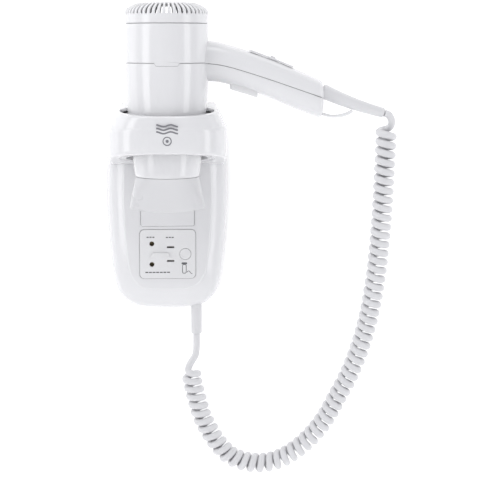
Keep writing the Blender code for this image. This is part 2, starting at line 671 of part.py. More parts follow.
CAP_RADIUS = BARREL_RADIUS - 0.4 * MM
CAP_WALL = 2.0 * MM
SLOT_START = CAP_RADIUS * 0.69       # inner ends of the slots
SLOT_FLOOR = CAP_RIM - 1.6 * MM


def cap_rings(inset, low):
    """Radius and height pairs of the cap's wall and its dome, a flattened arc, one of them where the slots
    start."""
    start = math.acos((SLOT_START / CAP_RADIUS) ** (1 / DOME_FLATNESS))
    rings = [(CAP_RADIUS - inset, low), (CAP_RADIUS - inset, SLOT_FLOOR)]
    for turn in (0.0, start * 0.55, start, (start + math.pi / 2) / 2, math.radians(84)):
        radius = (CAP_RADIUS - inset) * math.cos(turn) ** DOME_FLATNESS
        rings.append((radius, CAP_RIM - inset * 0.6 + (CAP_APEX - CAP_RIM) * math.sin(turn) ** 1.15))
    return rings


def rear_cap():
    """A dome with an outer and an inner skin on one grid: two columns for each slot, one of which is left
    open from the slot's floor to its inner end and walled round."""
    low = CAP_SEAM + GAP
    outer, inner = cap_rings(0.0, low), cap_rings(CAP_WALL, low)
    rows, columns = len(outer), 2 * CAP_SLOTS
    points = []
    for rings in (outer, inner):
        for (radius, z), (outer_radius, _) in zip(rings, outer):
            half = math.asin(CAP_SLOT_WIDTH / 2 / max(outer_radius, SLOT_START))
            for column in range(columns):
                middle = 2 * math.pi * (column // 2 + 0.5) / CAP_SLOTS
                turn = middle + (half if column % 2 else -half)
                points.append((radius * math.cos(turn), AXIS_Y + radius * math.sin(turn), z))

    def at(skin, row, column):
        return (skin * rows + row) * columns + column % columns

    open_rows = (1, 2, 3)
    faces = []
    for row in range(rows - 1):
        for column in range(columns):
            corners = [(row, column), (row, column + 1), (row + 1, column + 1), (row + 1, column)]
            if row in open_rows and column % 2 == 0:
                sides = [(corners[1], corners[2]), (corners[3], corners[0])]
                sides += [(corners[0], corners[1])] if row == open_rows[0] else []
                sides += [(corners[2], corners[3])] if row == open_rows[-1] else []
                faces += [[at(0, *a), at(0, *b), at(1, *b), at(1, *a)] for a, b in sides]
            else:
                faces.append([at(0, *corner) for corner in corners])
                faces.append([at(1, *corner) for corner in corners][::-1])
    for column in range(columns):
        faces.append([at(0, 0, column + 1), at(0, 0, column), at(1, 0, column), at(1, 0, column + 1)])
    faces.append([at(0, rows - 1, column) for column in range(columns)])
    faces.append([at(1, rows - 1, column) for column in range(columns)][::-1])
    cap = make("rear_cap", points, faces, "white")
    face_outwards(cap.data)
    filter_low, edge = CAP_SEAM + 2.4 * MM, CAP_RADIUS - CAP_WALL - 2 * GAP
    turned("inlet_filter", [(0.0002, filter_low), (edge, filter_low), (edge, filter_low + 1.4 * MM),
                            (0.0002, filter_low + 1.4 * MM)], "dark", steps=28)


def fan_and_motor():
    fan_low, fan_high = 147.0 * MM, 158.0 * MM
    tip = BARREL_RADIUS - SHELL_WALL - 3.5 * MM
    fan = turned("fan", [(0.0002, fan_low), (9.5 * MM, fan_low), (9.5 * MM, fan_high - 2 * MM),
                         (6.0 * MM, fan_high), (0.0002, fan_high)], "grey", steps=28)
    for place in range(FAN_BLADES):
        turn = 2 * math.pi * place / FAN_BLADES
        rings = []
        for radius, lean in ((8.6 * MM, 0.30), (19 * MM, 0.42), (tip, 0.50)):
            ring = []
            for side, z in ((-1, fan_low + MM), (1, fan_low + MM), (1, fan_high - 2.4 * MM),
                            (-1, fan_high - 2.4 * MM)):
                sweep = lean * (z - fan_low) / (fan_high - fan_low) * 9 * MM + side * 0.5 * MM
                x = radius * math.cos(turn) - sweep * math.sin(turn)
                y = radius * math.sin(turn) + sweep * math.cos(turn)
                ring.append((x, y + AXIS_Y, z))
            rings.append(ring)
        join(fan, loft(f"blade_{place}", rings))
    cut(fan, cylinder("fan_bore", (0.0, AXIS_Y), SHAFT_RADIUS + GAP, 140 * MM, 155 * MM, axis=2, steps=12))
    cylinder("motor_shaft", (0.0, AXIS_Y), SHAFT_RADIUS, 141.2 * MM, 154.5 * MM, "steel", axis=2, steps=12)
    motor_low, motor_high = 108.0 * MM, 140.9 * MM
    turned("motor", [(0.0002, motor_low), (MOTOR_RADIUS - MM, motor_low), (MOTOR_RADIUS, motor_low + MM),
                     (MOTOR_RADIUS, motor_high - 3 * MM), (5 * MM, motor_high - 3 * MM),
                     (5 * MM, motor_high), (0.0002, motor_high)], "steel", steps=28)
    ring_low, ring_high = 119.0 * MM, 137.0 * MM
    carrier = turned("motor_carrier", [
        (MOTOR_RADIUS + GAP, ring_low), (MOTOR_RADIUS + 1.8 * MM, ring_low),
        (MOTOR_RADIUS + 1.8 * MM, ring_high - 4 * MM), (MOTOR_RADIUS + GAP, ring_high - 4 * MM)],
        "grey", closed=True, steps=28)
    rim = barrel_radius(ring_low) - SHELL_WALL - 4 * GAP
    outer = turned("carrier_rim", [(rim - 1.5 * MM, ring_low), (rim, ring_low), (rim, ring_high),
                                   (rim - 1.5 * MM, ring_high)], closed=True, steps=32)
    join(carrier, outer)
    for place in range(5):
        turn = 2 * math.pi * (place + 0.5) / 5
        rings = []
        for radius in (MOTOR_RADIUS + MM, rim - 0.8 * MM):
            ring = [(-0.6 * MM, ring_low + 2 * MM), (0.6 * MM, ring_low + 2 * MM),
                    (0.6 * MM, ring_high - 5 * MM), (-0.6 * MM, ring_high - 5 * MM)]
            rings.append([(radius * math.cos(turn) - v * math.sin(turn),
                           AXIS_Y + radius * math.sin(turn) + v * math.cos(turn), z) for v, z in ring])
        join(carrier, loft(f"vane_{place}", rings))


HEATER_LOW, HEATER_HIGH = 48.0 * MM, 104.0 * MM


def heater():
    """Two crossed mica boards, the coil wound round them, the tube round the coil and the outlet grille."""
    outer = BARREL_END_RADIUS - SHELL_WALL - GAP
    inner = outer - 0.8 * MM
    half, thin = inner - 4.3 * MM, MICA_THICK / 2
    middle = (HEATER_LOW + HEATER_HIGH) / 2
    low, high = (-half, AXIS_Y - thin, HEATER_LOW), (half, AXIS_Y + thin, HEATER_HIGH)
    first = box("mica_board_wide", low, high, "mica")
    slit_low, slit_high = (-thin - GAP, AXIS_Y - 9 * MM, middle - GAP), (thin + GAP, AXIS_Y + 9 * MM, 0.2)
    cut(first, box("slit_wide", slit_low, slit_high))
    low, high = (-thin, AXIS_Y - half, HEATER_LOW), (thin, AXIS_Y + half, HEATER_HIGH)
    second = box("mica_board_cross", low, high, "mica")
    slit_low, slit_high = (-9 * MM, AXIS_Y - thin - GAP, 0.0), (9 * MM, AXIS_Y + thin + GAP, middle + GAP)
    cut(second, box("slit_cross", slit_low, slit_high))
    turns = np.linspace(0, 2 * math.pi * HEATER_TURNS, HEATER_TURNS * 14 + 1)
    radius = half + HEATER_WIRE / 2 + 1.0 * MM
    height = np.linspace(HEATER_LOW + 5 * MM, HEATER_HIGH - 5 * MM, len(turns))
    path = np.column_stack([radius * np.cos(turns), AXIS_Y + radius * np.sin(turns), height])
    tube("heater_coil", path, HEATER_WIRE / 2, "steel", resolution=0)
    turned("mica_tube", [(inner, HEATER_LOW), (outer, HEATER_LOW), (outer, HEATER_HIGH - 4 * MM),
                         (inner, HEATER_HIGH - 4 * MM)], "mica", closed=True, steps=28)
    box("thermostat", (4 * MM, AXIS_Y + 3 * MM, 84 * MM), (11 * MM, AXIS_Y + 9 * MM, 96 * MM), "dark")
    low = BARREL_END + 2.0 * MM
    rim = barrel_radius(low) - SHELL_WALL - GAP
    grille = turned("outlet_grille", [(rim - 1.6 * MM, low), (rim, low), (rim, low + 2.4 * MM),
                                      (rim - 1.6 * MM, low + 2.4 * MM)], "grey", closed=True, steps=24)
    for radius in (0.33 * rim, 0.66 * rim):
        join(grille, turned(f"ring_{radius:.4f}", [
            (radius, low), (radius + 1.3 * MM, low), (radius + 1.3 * MM, low + 2 * MM),
            (radius, low + 2 * MM)], closed=True, steps=16))
    for place, level in ((0, 0.2), (1, 0.3)):
        span = rim - 0.8 * MM
        sides = (span, 0.7 * MM) if place == 0 else (0.7 * MM, span)
        join(grille, box(f"spoke_{place}", (-sides[0], AXIS_Y - sides[1], low + level * MM),
                         (sides[0], AXIS_Y + sides[1], low + (2.1 - level) * MM)))


def nozzle_rings(inset, levels):
    """Sections from the round collar to the flat mouth. The lip bows down in the middle."""
    angles = np.linspace(0, 2 * math.pi, 32, endpoint=False)
    top = BARREL_END - GAP
    rings = []
    for share in levels:
        blend = share ** 0.85
        wide = BARREL_END_RADIUS - 0.3 * MM + (NOZZLE_MOUTH[0] - BARREL_END_RADIUS) * share - inset
        deep = BARREL_END_RADIUS - 0.3 * MM + (NOZZLE_MOUTH[1] - BARREL_END_RADIUS) * blend - inset
        power = 2 / (2 + 1.6 * share)
        x = wide * np.sign(np.cos(angles)) * np.abs(np.cos(angles)) ** power
        y = deep * np.sign(np.sin(angles)) * np.abs(np.sin(angles)) ** power
        drop = NOZZLE_LIP_DROP * share * (1 - (x / wide) ** 2)
        z = top + (NOZZLE_CORNER_Z - top) * share - drop
        rings.append(np.column_stack([x, AXIS_Y + y, z]))
    return rings


def nozzle():
    body = loft("nozzle", nozzle_rings(0.0, np.linspace(0, 1, 5)), "white")
    inside = nozzle_rings(NOZZLE_WALL, np.linspace(0, 1, 5))
    above, below = inside[0] + (0, 0, 5 * MM), inside[-1] - (0, 0, 6 * MM)
    cut(body, loft("nozzle_inside", [above, *inside, below]))
    # The neck that the nozzle turns on, inside the barrel's end.
    outer = BARREL_END_RADIUS - SHELL_WALL - RUNNING
    inner, shelf, foot = outer - 1.7 * MM, BARREL_END_RADIUS - MM, BARREL_END - 3 * MM
    join(body, turned("nozzle_neck", [
        (inner, foot), (shelf, foot), (shelf, BARREL_END - 0.4 * MM), (outer, BARREL_END - 0.4 * MM),
        (outer, BARREL_END + 1.4 * MM), (inner, BARREL_END + 1.4 * MM)], closed=True, steps=28))


def controls():
    """Slide switch on top of the handle, finger button under it, and what they work inside."""
    bezel = edge_block("switch_bezel", BEZEL_FROM, BEZEL_TO, 0.35 * MM, 1.7 * MM, 6.5 * MM, True, "face", 5)
    cut(bezel, edge_block("bezel_slot", *SLOT_SPAN, -2 * MM, 4 * MM, 3.4 * MM, True, count=3))
    slider = edge_block("switch_slider", SLIDER_X - 4.5 * MM, SLIDER_X + 4.5 * MM, -3.4 * MM, 1.4 * MM,
                        2.2 * MM, True, "face", 2)
    join(slider, edge_block("slider_nub", SLIDER_X - 2 * MM, SLIDER_X + 2 * MM, 1.0 * MM, 3.2 * MM,
                            2.2 * MM, True, count=2))
    edge_block("slide_switch_body", 79 * MM, 101 * MM, -12 * MM, -4.2 * MM, 4.5 * MM, True, "dark", 3)
    edge_block("finger_button", BUTTON_FROM, BUTTON_TO, -3.9 * MM, 2.8 * MM, 7.5 * MM, False, "face", 5)
    foot = handle_edge(BUTTON_X, False) + 2.8 * MM
    turns = np.linspace(0, 2 * math.pi * 3.5, 43)
    height = np.linspace(foot + 1.0 * MM, SPRING_TOP - 0.7 * MM, len(turns))
    path = np.column_stack([BUTTON_X + 2.4 * MM * np.cos(turns), AXIS_Y + 2.4 * MM * np.sin(turns), height])
    tube("button_spring", path, 0.35 * MM, "steel", resolution=0)
    switch_low, switch_high = (59 * MM, AXIS_Y - 5 * MM, SPRING_TOP), (73 * MM, AXIS_Y + 5 * MM, 128.5 * MM)
    box("button_switch", switch_low, switch_high, "dark")


def handle_inside():
    """The lead from the cord guard, the grip that holds it and the screws that hold the shells together."""
    y = AXIS_Y - 4 * MM
    points = [(123.5 * MM, y, 108.4 * MM), (116 * MM, y, 109.5 * MM), (107 * MM, y, 112 * MM),
              (98 * MM, y, 115.5 * MM)]
    tube("inner_lead", smooth_path(points, 6 * MM), 2.6 * MM, "grey", resolution=1)
    grip = box("cord_grip", (108 * MM, y - 6 * MM, 104.5 * MM), (113 * MM, y + 5 * MM, 118 * MM), "grey")
    passage = np.array(points[1:3]) + [(4 * MM, 0, -1.3 * MM), (-4 * MM, 0, 1.1 * MM)]
    cut(grip, tapered("grip_passage", passage, [3.3 * MM] * 2, steps=12))


def lift_sensing():
    """The magnet in the barrel and the reed switch in the collar that cuts the supply."""
    side = barrel_radius(66 * MM) - SHELL_WALL - 1.0 * MM
    box("lift_magnet", (side - 2.0 * MM, AXIS_Y - 3 * MM, 66 * MM), (side, AXIS_Y + 3 * MM, 76 * MM), "steel")
    side = LINER_RADIUS + 2 * GAP
    box("reed_switch", (side, AXIS_Y - 5 * MM, 60 * MM), (side + 5.5 * MM, AXIS_Y + 5 * MM, 76 * MM), "dark")


# ---------------------------------------------------------------- cord

LOWER_ROUTE = [(26.5, -15.0, -118.3), (26.5, -15.0, -131.0), (25.2, -15.2, -141.0), (22.2, -15.7, -147.0),
               (21.0, -16.0, -151.6)]
UPPER_ROUTE = [(189.2, -72.0, 89.1), (193.2, -72.0, 87.4), (196.4, -72.0, 84.0), (197.6, -72.0, 78.6)]
COIL_ROUTE = [
    (21.4, -16.0, -153.2), (22.6, -16.0, -163.9), (26.0, -16.3, -178.0), (31.0, -17.2, -196.0),
    (37.8, -18.2, -210.0), (46.3, -19.5, -223.3), (57.0, -21.1, -234.3), (71.3, -22.9, -240.2),
    (87.0, -25.0, -241.2), (101.5, -26.9, -237.7), (114.0, -29.2, -230.4), (125.8, -31.3, -220.5),
    (136.9, -34.0, -207.6), (146.3, -37.0, -192.8), (154.4, -40.3, -175.6), (165.3, -44.9, -151.6),
    (173.6, -49.2, -127.0), (180.4, -54.3, -98.0), (185.0, -59.5, -65.3), (187.5, -64.0, -33.9),
    (188.9, -67.6, -2.8), (189.8, -70.4, 30.6), (190.6, -71.8, 62.0), (190.6, -72.0, 77.0),
]


def cord():
    for name, route, radius, step in (
        ("cord_lower", LOWER_ROUTE, CORD_RADIUS, 7 * MM),
        ("cord_upper", UPPER_ROUTE, CORD_RADIUS, 4 * MM),
        ("cord_coil", COIL_ROUTE, COIL_RADIUS, 12 * MM),
    ):
        path = smooth_path(np.array(route) * MM, step)
        tube(name, path, radius, "flex")


# ---------------------------------------------------------------- assembly

def place_on_axis(names, point):
    """Moves the pieces' origins to a point on their joint's axis and leaves their shapes where they are."""
    empty = bpy.data.objects.new(f"axis_{names[0]}", None)
    empty.location = point
    bpy.context.scene.collection.objects.link(empty)
    for name in names:
        piece = bpy.data.objects[name]
        piece.parent = empty
        piece.matrix_parent_inverse = Matrix.Translation(point).inverted()


def main():
    clear_scene()
    wall_plate()
    holder_cover()
    collar_liner()
    socket_face()
    screw_cover()
    cover_screws()
    socket_inside()
    cord_entry()
    shells()
    cord_guard()
    hanging_loop()
    rear_cap()
    fan_and_motor()
    heater()
    nozzle()
    controls()
    handle_inside()
    lift_sensing()
    cord()
    place_on_axis(["rear_cap", "inlet_filter"], (0.0, AXIS_Y, CAP_SEAM))
    place_on_axis(["fan", "motor_shaft"], (0.0, AXIS_Y, 150 * MM))
    place_on_axis(["nozzle"], (0.0, AXIS_Y, BARREL_END))
    place_on_axis(["switch_slider"], (SLIDER_X, AXIS_Y, handle_edge(SLIDER_X, True)))
    place_on_axis(["finger_button"], (BUTTON_X, AXIS_Y, handle_edge(BUTTON_X, False)))
    place_on_axis(["rear_shell", "front_shell"], (0.0, AXIS_Y, COLLAR_RIM))


main()
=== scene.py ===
"""Looks of the wall-mounted hair dryer: the moulded white shells, the slotted cap, the holder with its
collar and shaver socket, and the curly cord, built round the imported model. Lengths are metres.
"""

import json
import math

import bmesh
import bpy
import numpy as np
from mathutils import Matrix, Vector


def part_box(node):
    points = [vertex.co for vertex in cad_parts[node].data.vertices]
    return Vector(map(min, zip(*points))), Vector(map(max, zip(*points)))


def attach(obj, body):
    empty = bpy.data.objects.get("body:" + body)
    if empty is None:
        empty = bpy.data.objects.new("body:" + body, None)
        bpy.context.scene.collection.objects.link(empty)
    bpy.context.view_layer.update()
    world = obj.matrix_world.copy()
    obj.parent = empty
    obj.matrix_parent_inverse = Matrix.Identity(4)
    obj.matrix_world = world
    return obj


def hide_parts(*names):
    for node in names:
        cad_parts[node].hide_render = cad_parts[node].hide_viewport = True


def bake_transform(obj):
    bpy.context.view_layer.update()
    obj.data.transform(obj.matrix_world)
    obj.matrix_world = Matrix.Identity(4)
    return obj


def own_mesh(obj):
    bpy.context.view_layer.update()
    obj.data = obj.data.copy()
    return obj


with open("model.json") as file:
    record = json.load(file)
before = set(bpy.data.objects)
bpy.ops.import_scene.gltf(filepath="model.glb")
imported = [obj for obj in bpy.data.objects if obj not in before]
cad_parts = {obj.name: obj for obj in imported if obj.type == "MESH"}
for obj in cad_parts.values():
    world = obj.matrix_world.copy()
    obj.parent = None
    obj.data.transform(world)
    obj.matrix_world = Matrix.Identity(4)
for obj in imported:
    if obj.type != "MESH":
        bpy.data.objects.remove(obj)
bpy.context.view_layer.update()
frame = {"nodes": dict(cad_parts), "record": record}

bpy.context.scene.view_settings.view_transform = "Standard"

MM = 0.001
HAIRLINE = 0.18 * MM          # half of the gap that shows between two mouldings

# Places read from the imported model.
LINER_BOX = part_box("collar_liner")
REAR_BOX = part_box("rear_shell")
FRONT_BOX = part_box("front_shell")
CAP_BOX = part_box("rear_cap")
COVER_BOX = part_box("holder_cover")
SOCKET_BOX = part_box("socket_face")
PAD_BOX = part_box("screw_cover")
AXIS_Y = (LINER_BOX[0][1] + LINER_BOX[1][1]) / 2
BARREL_RADIUS = -REAR_BOX[0][0]
HANDLE_END = REAR_BOX[1][0]
CAP_SEAM = REAR_BOX[1][2]
CAP_APEX = CAP_BOX[1][2]
SHELL_SEAM = 132.7 * MM
BARREL_END = FRONT_BOX[0][2]
SEAT_RADIUS = BARREL_RADIUS - 2 * MM
COLLAR_RIM = 92.0 * MM
COLLAR_FOOT = 49.7 * MM
PANEL_Y = SOCKET_BOX[0][1] + 1.7 * MM

WHITE = (0.76, 0.76, 0.775)


# ---------------------------------------------------------------- camera and stage

def camera():
    """Level with the top of the holder's collar, a little over a metre from the wall."""
    made = bpy.data.objects.new("camera", bpy.data.cameras.new("camera"))
    bpy.context.scene.collection.objects.link(made)
    made.location = (0.0, -1.150, 0.1475)
    target = Vector((0.0400, -0.035, -0.0107))
    made.rotation_euler = (target - made.location).to_track_quat("-Z", "Y").to_euler()
    made.data.lens = 89.6
    made.data.shift_x, made.data.shift_y = 0.0765, -0.0563
    bpy.context.scene.camera = made


def area_light(name, place, target, size, power, colour=(1.0, 1.0, 1.0)):
    light = bpy.data.lights.new(name, "AREA")
    light.shape = "RECTANGLE"
    light.size, light.size_y = size
    light.energy = power
    light.color = colour
    made = bpy.data.objects.new(name, light)
    bpy.context.scene.collection.objects.link(made)
    made.location = place
    made.rotation_euler = (Vector(target) - Vector(place)).to_track_quat("-Z", "Y").to_euler()
    return made


def lights():
    """A bright tent: tall boxes at both sides, a soft top, and a pale surround."""
    middle = (0.05, -0.05, 0.0)
    area_light("left_box", (-1.1, -0.75, 0.35), middle, (0.5, 1.6), 6.2)
    area_light("right_box", (1.3, -0.9, 0.15), middle, (0.5, 1.6), 5.6)
    area_light("top_box", (-0.2, -0.8, 1.5), middle, (1.4, 0.8), 7.2)
    world = bpy.data.worlds.new("pale_surround")
    world.use_nodes = True
    background = world.node_tree.nodes["Background"]
    background.inputs["Color"].default_value = (0.93, 0.935, 0.97, 1.0)
    background.inputs["Strength"].default_value = 0.54
    bpy.context.scene.world = world


def flat_finish(name, colour, roughness):
    """The stage's own plain finish."""
    made = bpy.data.materials.new(name)
    made.use_nodes = True
    shader = made.node_tree.nodes["Principled BSDF"]
    shader.inputs["Base Color"].default_value = (*colour, 1.0)
    shader.inputs["Emission Color"].default_value = (1.0, 1.0, 1.0, 1.0)
    shader.inputs["Emission Strength"].default_value = 0.26
    shader.inputs["Roughness"].default_value = roughness
    return made


def stage():
    """The wall behind the holder and a pale floor well below it."""
    for name, corners in (
        ("wall", [(-4, 0.0006, -0.9), (4, 0.0006, -0.9), (4, 0.0006, 4), (-4, 0.0006, 4)]),
        ("floor", [(-4, -5, -0.9), (4, -5, -0.9), (4, 0.0006, -0.9), (-4, 0.0006, -0.9)]),
    ):
        mesh = bpy.data.meshes.new(name)
        mesh.from_pydata(corners, [], [(0, 1, 2, 3)])
        mesh.materials.append(flat_finish(f"{name}_paint", (0.93, 0.93, 0.93), 0.8))
        made = bpy.data.objects.new(name, mesh)
        bpy.context.scene.collection.objects.link(made)


# ---------------------------------------------------------------- mesh tools

def piece(name, points, faces, finish, smooth_angle=35):
    """A mesh from arrays of points and of four-cornered faces, shaded smooth but for its sharp edges."""
    mesh = bpy.data.meshes.new(name)
    mesh.from_pydata(np.asarray(points, float).tolist(), [], [list(face) for face in faces])
    mesh.materials.append(finish)
    made = bpy.data.objects.new(name, mesh)
    bpy.context.scene.collection.objects.link(made)
    finish_mesh(made, smooth_angle)
    return made


def finish_mesh(made, smooth_angle=35, turn_out=True):
    """Doubles merged, faces turned outwards and the shading set."""
    shape = bmesh.new()
    shape.from_mesh(made.data)
    bmesh.ops.remove_doubles(shape, verts=shape.verts, dist=0.002 * MM)
    if turn_out:
        bmesh.ops.recalc_face_normals(shape, faces=shape.faces)
    shape.to_mesh(made.data)
    shape.free()
    made.data.shade_smooth()
    made.data.set_sharp_from_angle(angle=math.radians(smooth_angle))


def grid_faces(rows, columns, wrap_rows=False, wrap_columns=True):
    """Four-cornered faces of a grid of points, numbered row by row."""
    index = np.arange(rows * columns).reshape(rows, columns)
    if wrap_rows:
        index = np.vstack([index, index[:1]])
    if wrap_columns:
        index = np.hstack([index, index[:, :1]])
    faces = np.stack([index[:-1, :-1], index[:-1, 1:], index[1:, 1:], index[1:, :-1]], -1)
    return faces.reshape(-1, 4)


def sheet_piece(name, grid, finish, wrap_rows=False, wrap_columns=True, caps=False, smooth_angle=35):
    """A grid of points, rows by columns, as one surface. Caps close its first and last row."""
    grid = np.asarray(grid, float)
    rows, columns = grid.shape[:2]
    faces = grid_faces(rows, columns, wrap_rows, wrap_columns).tolist()
    if caps:
        faces += [list(range(columns))[::-1], list(range((rows - 1) * columns, rows * columns))]
    return piece(name, grid.reshape(-1, 3), faces, finish, smooth_angle)


def joined(name, parts):
    """Several pieces made one object."""
    shape = bmesh.new()
    for part in parts:
        shape.from_mesh(part.data)
    mesh = bpy.data.meshes.new(name)
    shape.to_mesh(mesh)
    shape.free()
    mesh.materials.append(parts[0].data.materials[0])
    for part in parts:
        bpy.data.objects.remove(part, do_unlink=True)
    made = bpy.data.objects.new(name, mesh)
    bpy.context.scene.collection.objects.link(made)
    return made


def turned_grid(profile, steps, centre=(0.0, AXIS_Y)):
    """Radius and height pairs turned about a vertical axis: x and y are the radius times the angle's
    cosine and sine, one row for each pair."""
    profile = np.asarray(profile, float)
    angle = np.linspace(0, 2 * math.pi, steps, endpoint=False)
    x = centre[0] + profile[:, :1] * np.cos(angle)
    y = centre[1] + profile[:, :1] * np.sin(angle)
    z = np.repeat(profile[:, 1:], steps, axis=1)
    return np.stack([x, y, z], -1)


def smooth_run(points, count):
    """A smooth curve through the points at even steps of its own length (Catmull-Rom)."""
    points = np.asarray(points, float)
    ends = np.vstack([2 * points[0] - points[1], points, 2 * points[-1] - points[-2]])
    t = np.linspace(0, 1, 16, endpoint=False)[:, None]
    fine = []
    for p0, p1, p2, p3 in zip(ends, ends[1:], ends[2:], ends[3:]):
        fine.append(0.5 * (2 * p1 + (p2 - p0) * t + (2 * p0 - 5 * p1 + 4 * p2 - p3) * t**2
                           + (3 * p1 - p0 - 3 * p2 + p3) * t**3))
    fine = np.vstack([*fine, points[-1:]])
    run = np.concatenate([[0], np.cumsum(np.linalg.norm(np.diff(fine, axis=0), axis=1))])
    places = np.linspace(0, run[-1], count)
    return np.column_stack([np.interp(places, run, column) for column in fine.T])


def unit(vectors):
    return vectors / np.linalg.norm(vectors, axis=-1, keepdims=True)


def swept_grid(path, radii, sides):
    """A round section carried along a path: each ring is the path's point plus the radius times the
    angle's cosine across and sine to the front, square to the path."""
    path = np.asarray(path, float)
    along = unit(np.gradient(path, axis=0))
    front = np.array([0.0, -1.0, 0.0])
    front = unit(front - along * (along @ front)[:, None])
    across = np.cross(along, front)
    angle = np.linspace(0, 2 * math.pi, sides, endpoint=False)
    radii = np.broadcast_to(radii, len(path))[:, None, None]
    ring = np.cos(angle)[None, :, None] * across[:, None] + np.sin(angle)[None, :, None] * front[:, None]
    return path[:, None] + radii * ring


# ---------------------------------------------------------------- finishes

def node_group(name, inputs, outputs):
    """An empty shader group with number inputs and the named outputs."""
    group = bpy.data.node_groups.new(name, "ShaderNodeTree")
    for label, value in inputs:
        socket = group.interface.new_socket(label, in_out="INPUT", socket_type="NodeSocketFloat")
        socket.default_value = value
    for label in outputs:
        group.interface.new_socket(label, in_out="OUTPUT", socket_type="NodeSocketFloat")
    return group, group.nodes.new("NodeGroupInput"), group.nodes.new("NodeGroupOutput")


def noise_in(tree, place, scale, detail=2.0, roughness=0.5):
    made = tree.nodes.new("ShaderNodeTexNoise")
    made.inputs["Detail"].default_value = detail
    made.inputs["Roughness"].default_value = roughness
    tree.links.new(place, made.inputs["Vector"])
    if isinstance(scale, (int, float)):
        made.inputs["Scale"].default_value = scale
    else:
        tree.links.new(scale, made.inputs["Scale"])
    return made.outputs["Fac"]


def ranged(tree, value, low, high, new_low, new_high):
    made = tree.nodes.new("ShaderNodeMapRange")
    tree.links.new(value, made.inputs["Value"])
    for label, number in (("From Min", low), ("From Max", high), ("To Min", new_low), ("To Max", new_high)):
        made.inputs[label].default_value = number
    return made.outputs["Result"]


def multiplied(tree, first, second):
    made = tree.nodes.new("ShaderNodeMath")
    made.operation = "MULTIPLY"
    tree.links.new(first, made.inputs[0])
    tree.links.new(second, made.inputs[1])
    return made.outputs[0]


def moulded_skin():
    """The faint orange peel and the slow unevenness of a moulded surface."""
    group, given, out = node_group("moulded_skin", [("Grain", 700.0), ("Cloud", 30.0)], ["Peel", "Cloud"])
    place = group.nodes.new("ShaderNodeTexCoord").outputs["Object"]
    group.links.new(noise_in(group, place, given.outputs["Grain"], 1.0), out.inputs["Peel"])
    group.links.new(noise_in(group, place, given.outputs["Cloud"], 3.0, 0.6), out.inputs["Cloud"])
    return group


def settled_dust():
    """A thin film on what faces up, broken by a fine noise."""
    group, given, out = node_group("settled_dust", [("Grain", 160.0)], ["Film"])
    normal = group.nodes.new("ShaderNodeNewGeometry").outputs["Normal"]
    parts = group.nodes.new("ShaderNodeSeparateXYZ")
    group.links.new(normal, parts.inputs[0])
    up = ranged(group, parts.outputs["Z"], 0.45, 1.0, 0.0, 1.0)
    place = group.nodes.new("ShaderNodeTexCoord").outputs["Object"]
    specks = ranged(group, noise_in(group, place, given.outputs["Grain"], 4.0, 0.7), 0.42, 0.7, 0.25, 1.0)
    group.links.new(multiplied(group, up, specks), out.inputs["Film"])
    return group


SKIN, DUST = moulded_skin(), settled_dust()


def mixed(tree, mask, first, second):
    made = tree.nodes.new("ShaderNodeMix")
    made.data_type = "RGBA"
    tree.links.new(mask, made.inputs["Factor"])
    for socket, colour in ((made.inputs["A"], first), (made.inputs["B"], second)):
        if isinstance(colour, tuple):
            socket.default_value = (*colour, 1.0)
        else:
            tree.links.new(colour, socket)
    return made.outputs["Result"]


def placed_group(tree, group, **values):
    made = tree.nodes.new("ShaderNodeGroup")
    made.node_tree = group
    for label, value in values.items():
        made.inputs[label].default_value = value
    return made


def bumped(tree, shader, height, strength, distance):
    made = tree.nodes.new("ShaderNodeBump")
    made.inputs["Strength"].default_value = strength
    made.inputs["Distance"].default_value = distance
    tree.links.new(height, made.inputs["Height"])
    tree.links.new(made.outputs["Normal"], shader.inputs["Normal"])


def moulded(name, colour, roughness, peel=0.12, grain=700.0, coat=0.0, dust=0.35, tint=0.03):
    """A moulded plastic: peel in the bump, clouds in colour and gloss, dust on what faces up."""
    made = bpy.data.materials.new(name)
    made.use_nodes = True
    tree = made.node_tree
    shader = tree.nodes["Principled BSDF"]
    skin = placed_group(tree, SKIN, Grain=grain, Cloud=26.0)
    film = placed_group(tree, DUST, Grain=170.0)
    darker = tuple(channel * (1 - tint) for channel in colour)
    base = mixed(tree, skin.outputs["Cloud"], darker, colour)
    dusty = tuple(channel * 0.9 + 0.03 for channel in (colour[0], colour[1] * 0.985, colour[2] * 0.95))
    thin = ranged(tree, film.outputs["Film"], 0.0, 1.0, 0.0, dust)
    tree.links.new(mixed(tree, thin, base, dusty), shader.inputs["Base Color"])
    rough = ranged(tree, skin.outputs["Cloud"], 0.3, 0.7, roughness * 0.88, roughness * 1.15)
    tree.links.new(rough, shader.inputs["Roughness"])
    shader.inputs["Coat Weight"].default_value = coat
    shader.inputs["Coat Roughness"].default_value = 0.06
    shader.inputs["IOR"].default_value = 1.5
    bumped(tree, shader, skin.outputs["Peel"], peel, 0.05 * MM)
    return made


def metal(name, colour, roughness, grain=900.0):
    """A drawn metal: roughness and colour drift with a stretched noise."""
    made = bpy.data.materials.new(name)
    made.use_nodes = True
    tree = made.node_tree
    shader = tree.nodes["Principled BSDF"]
    shader.inputs["Metallic"].default_value = 1.0
    skin = placed_group(tree, SKIN, Grain=grain, Cloud=60.0)
    darker = tuple(channel * 0.8 for channel in colour)
    tree.links.new(mixed(tree, skin.outputs["Cloud"], darker, colour), shader.inputs["Base Color"])
    rough = ranged(tree, skin.outputs["Peel"], 0.3, 0.7, roughness * 0.7, roughness * 1.4)
    tree.links.new(rough, shader.inputs["Roughness"])
    bumped(tree, shader, skin.outputs["Peel"], 0.15, 0.04 * MM)
    return made


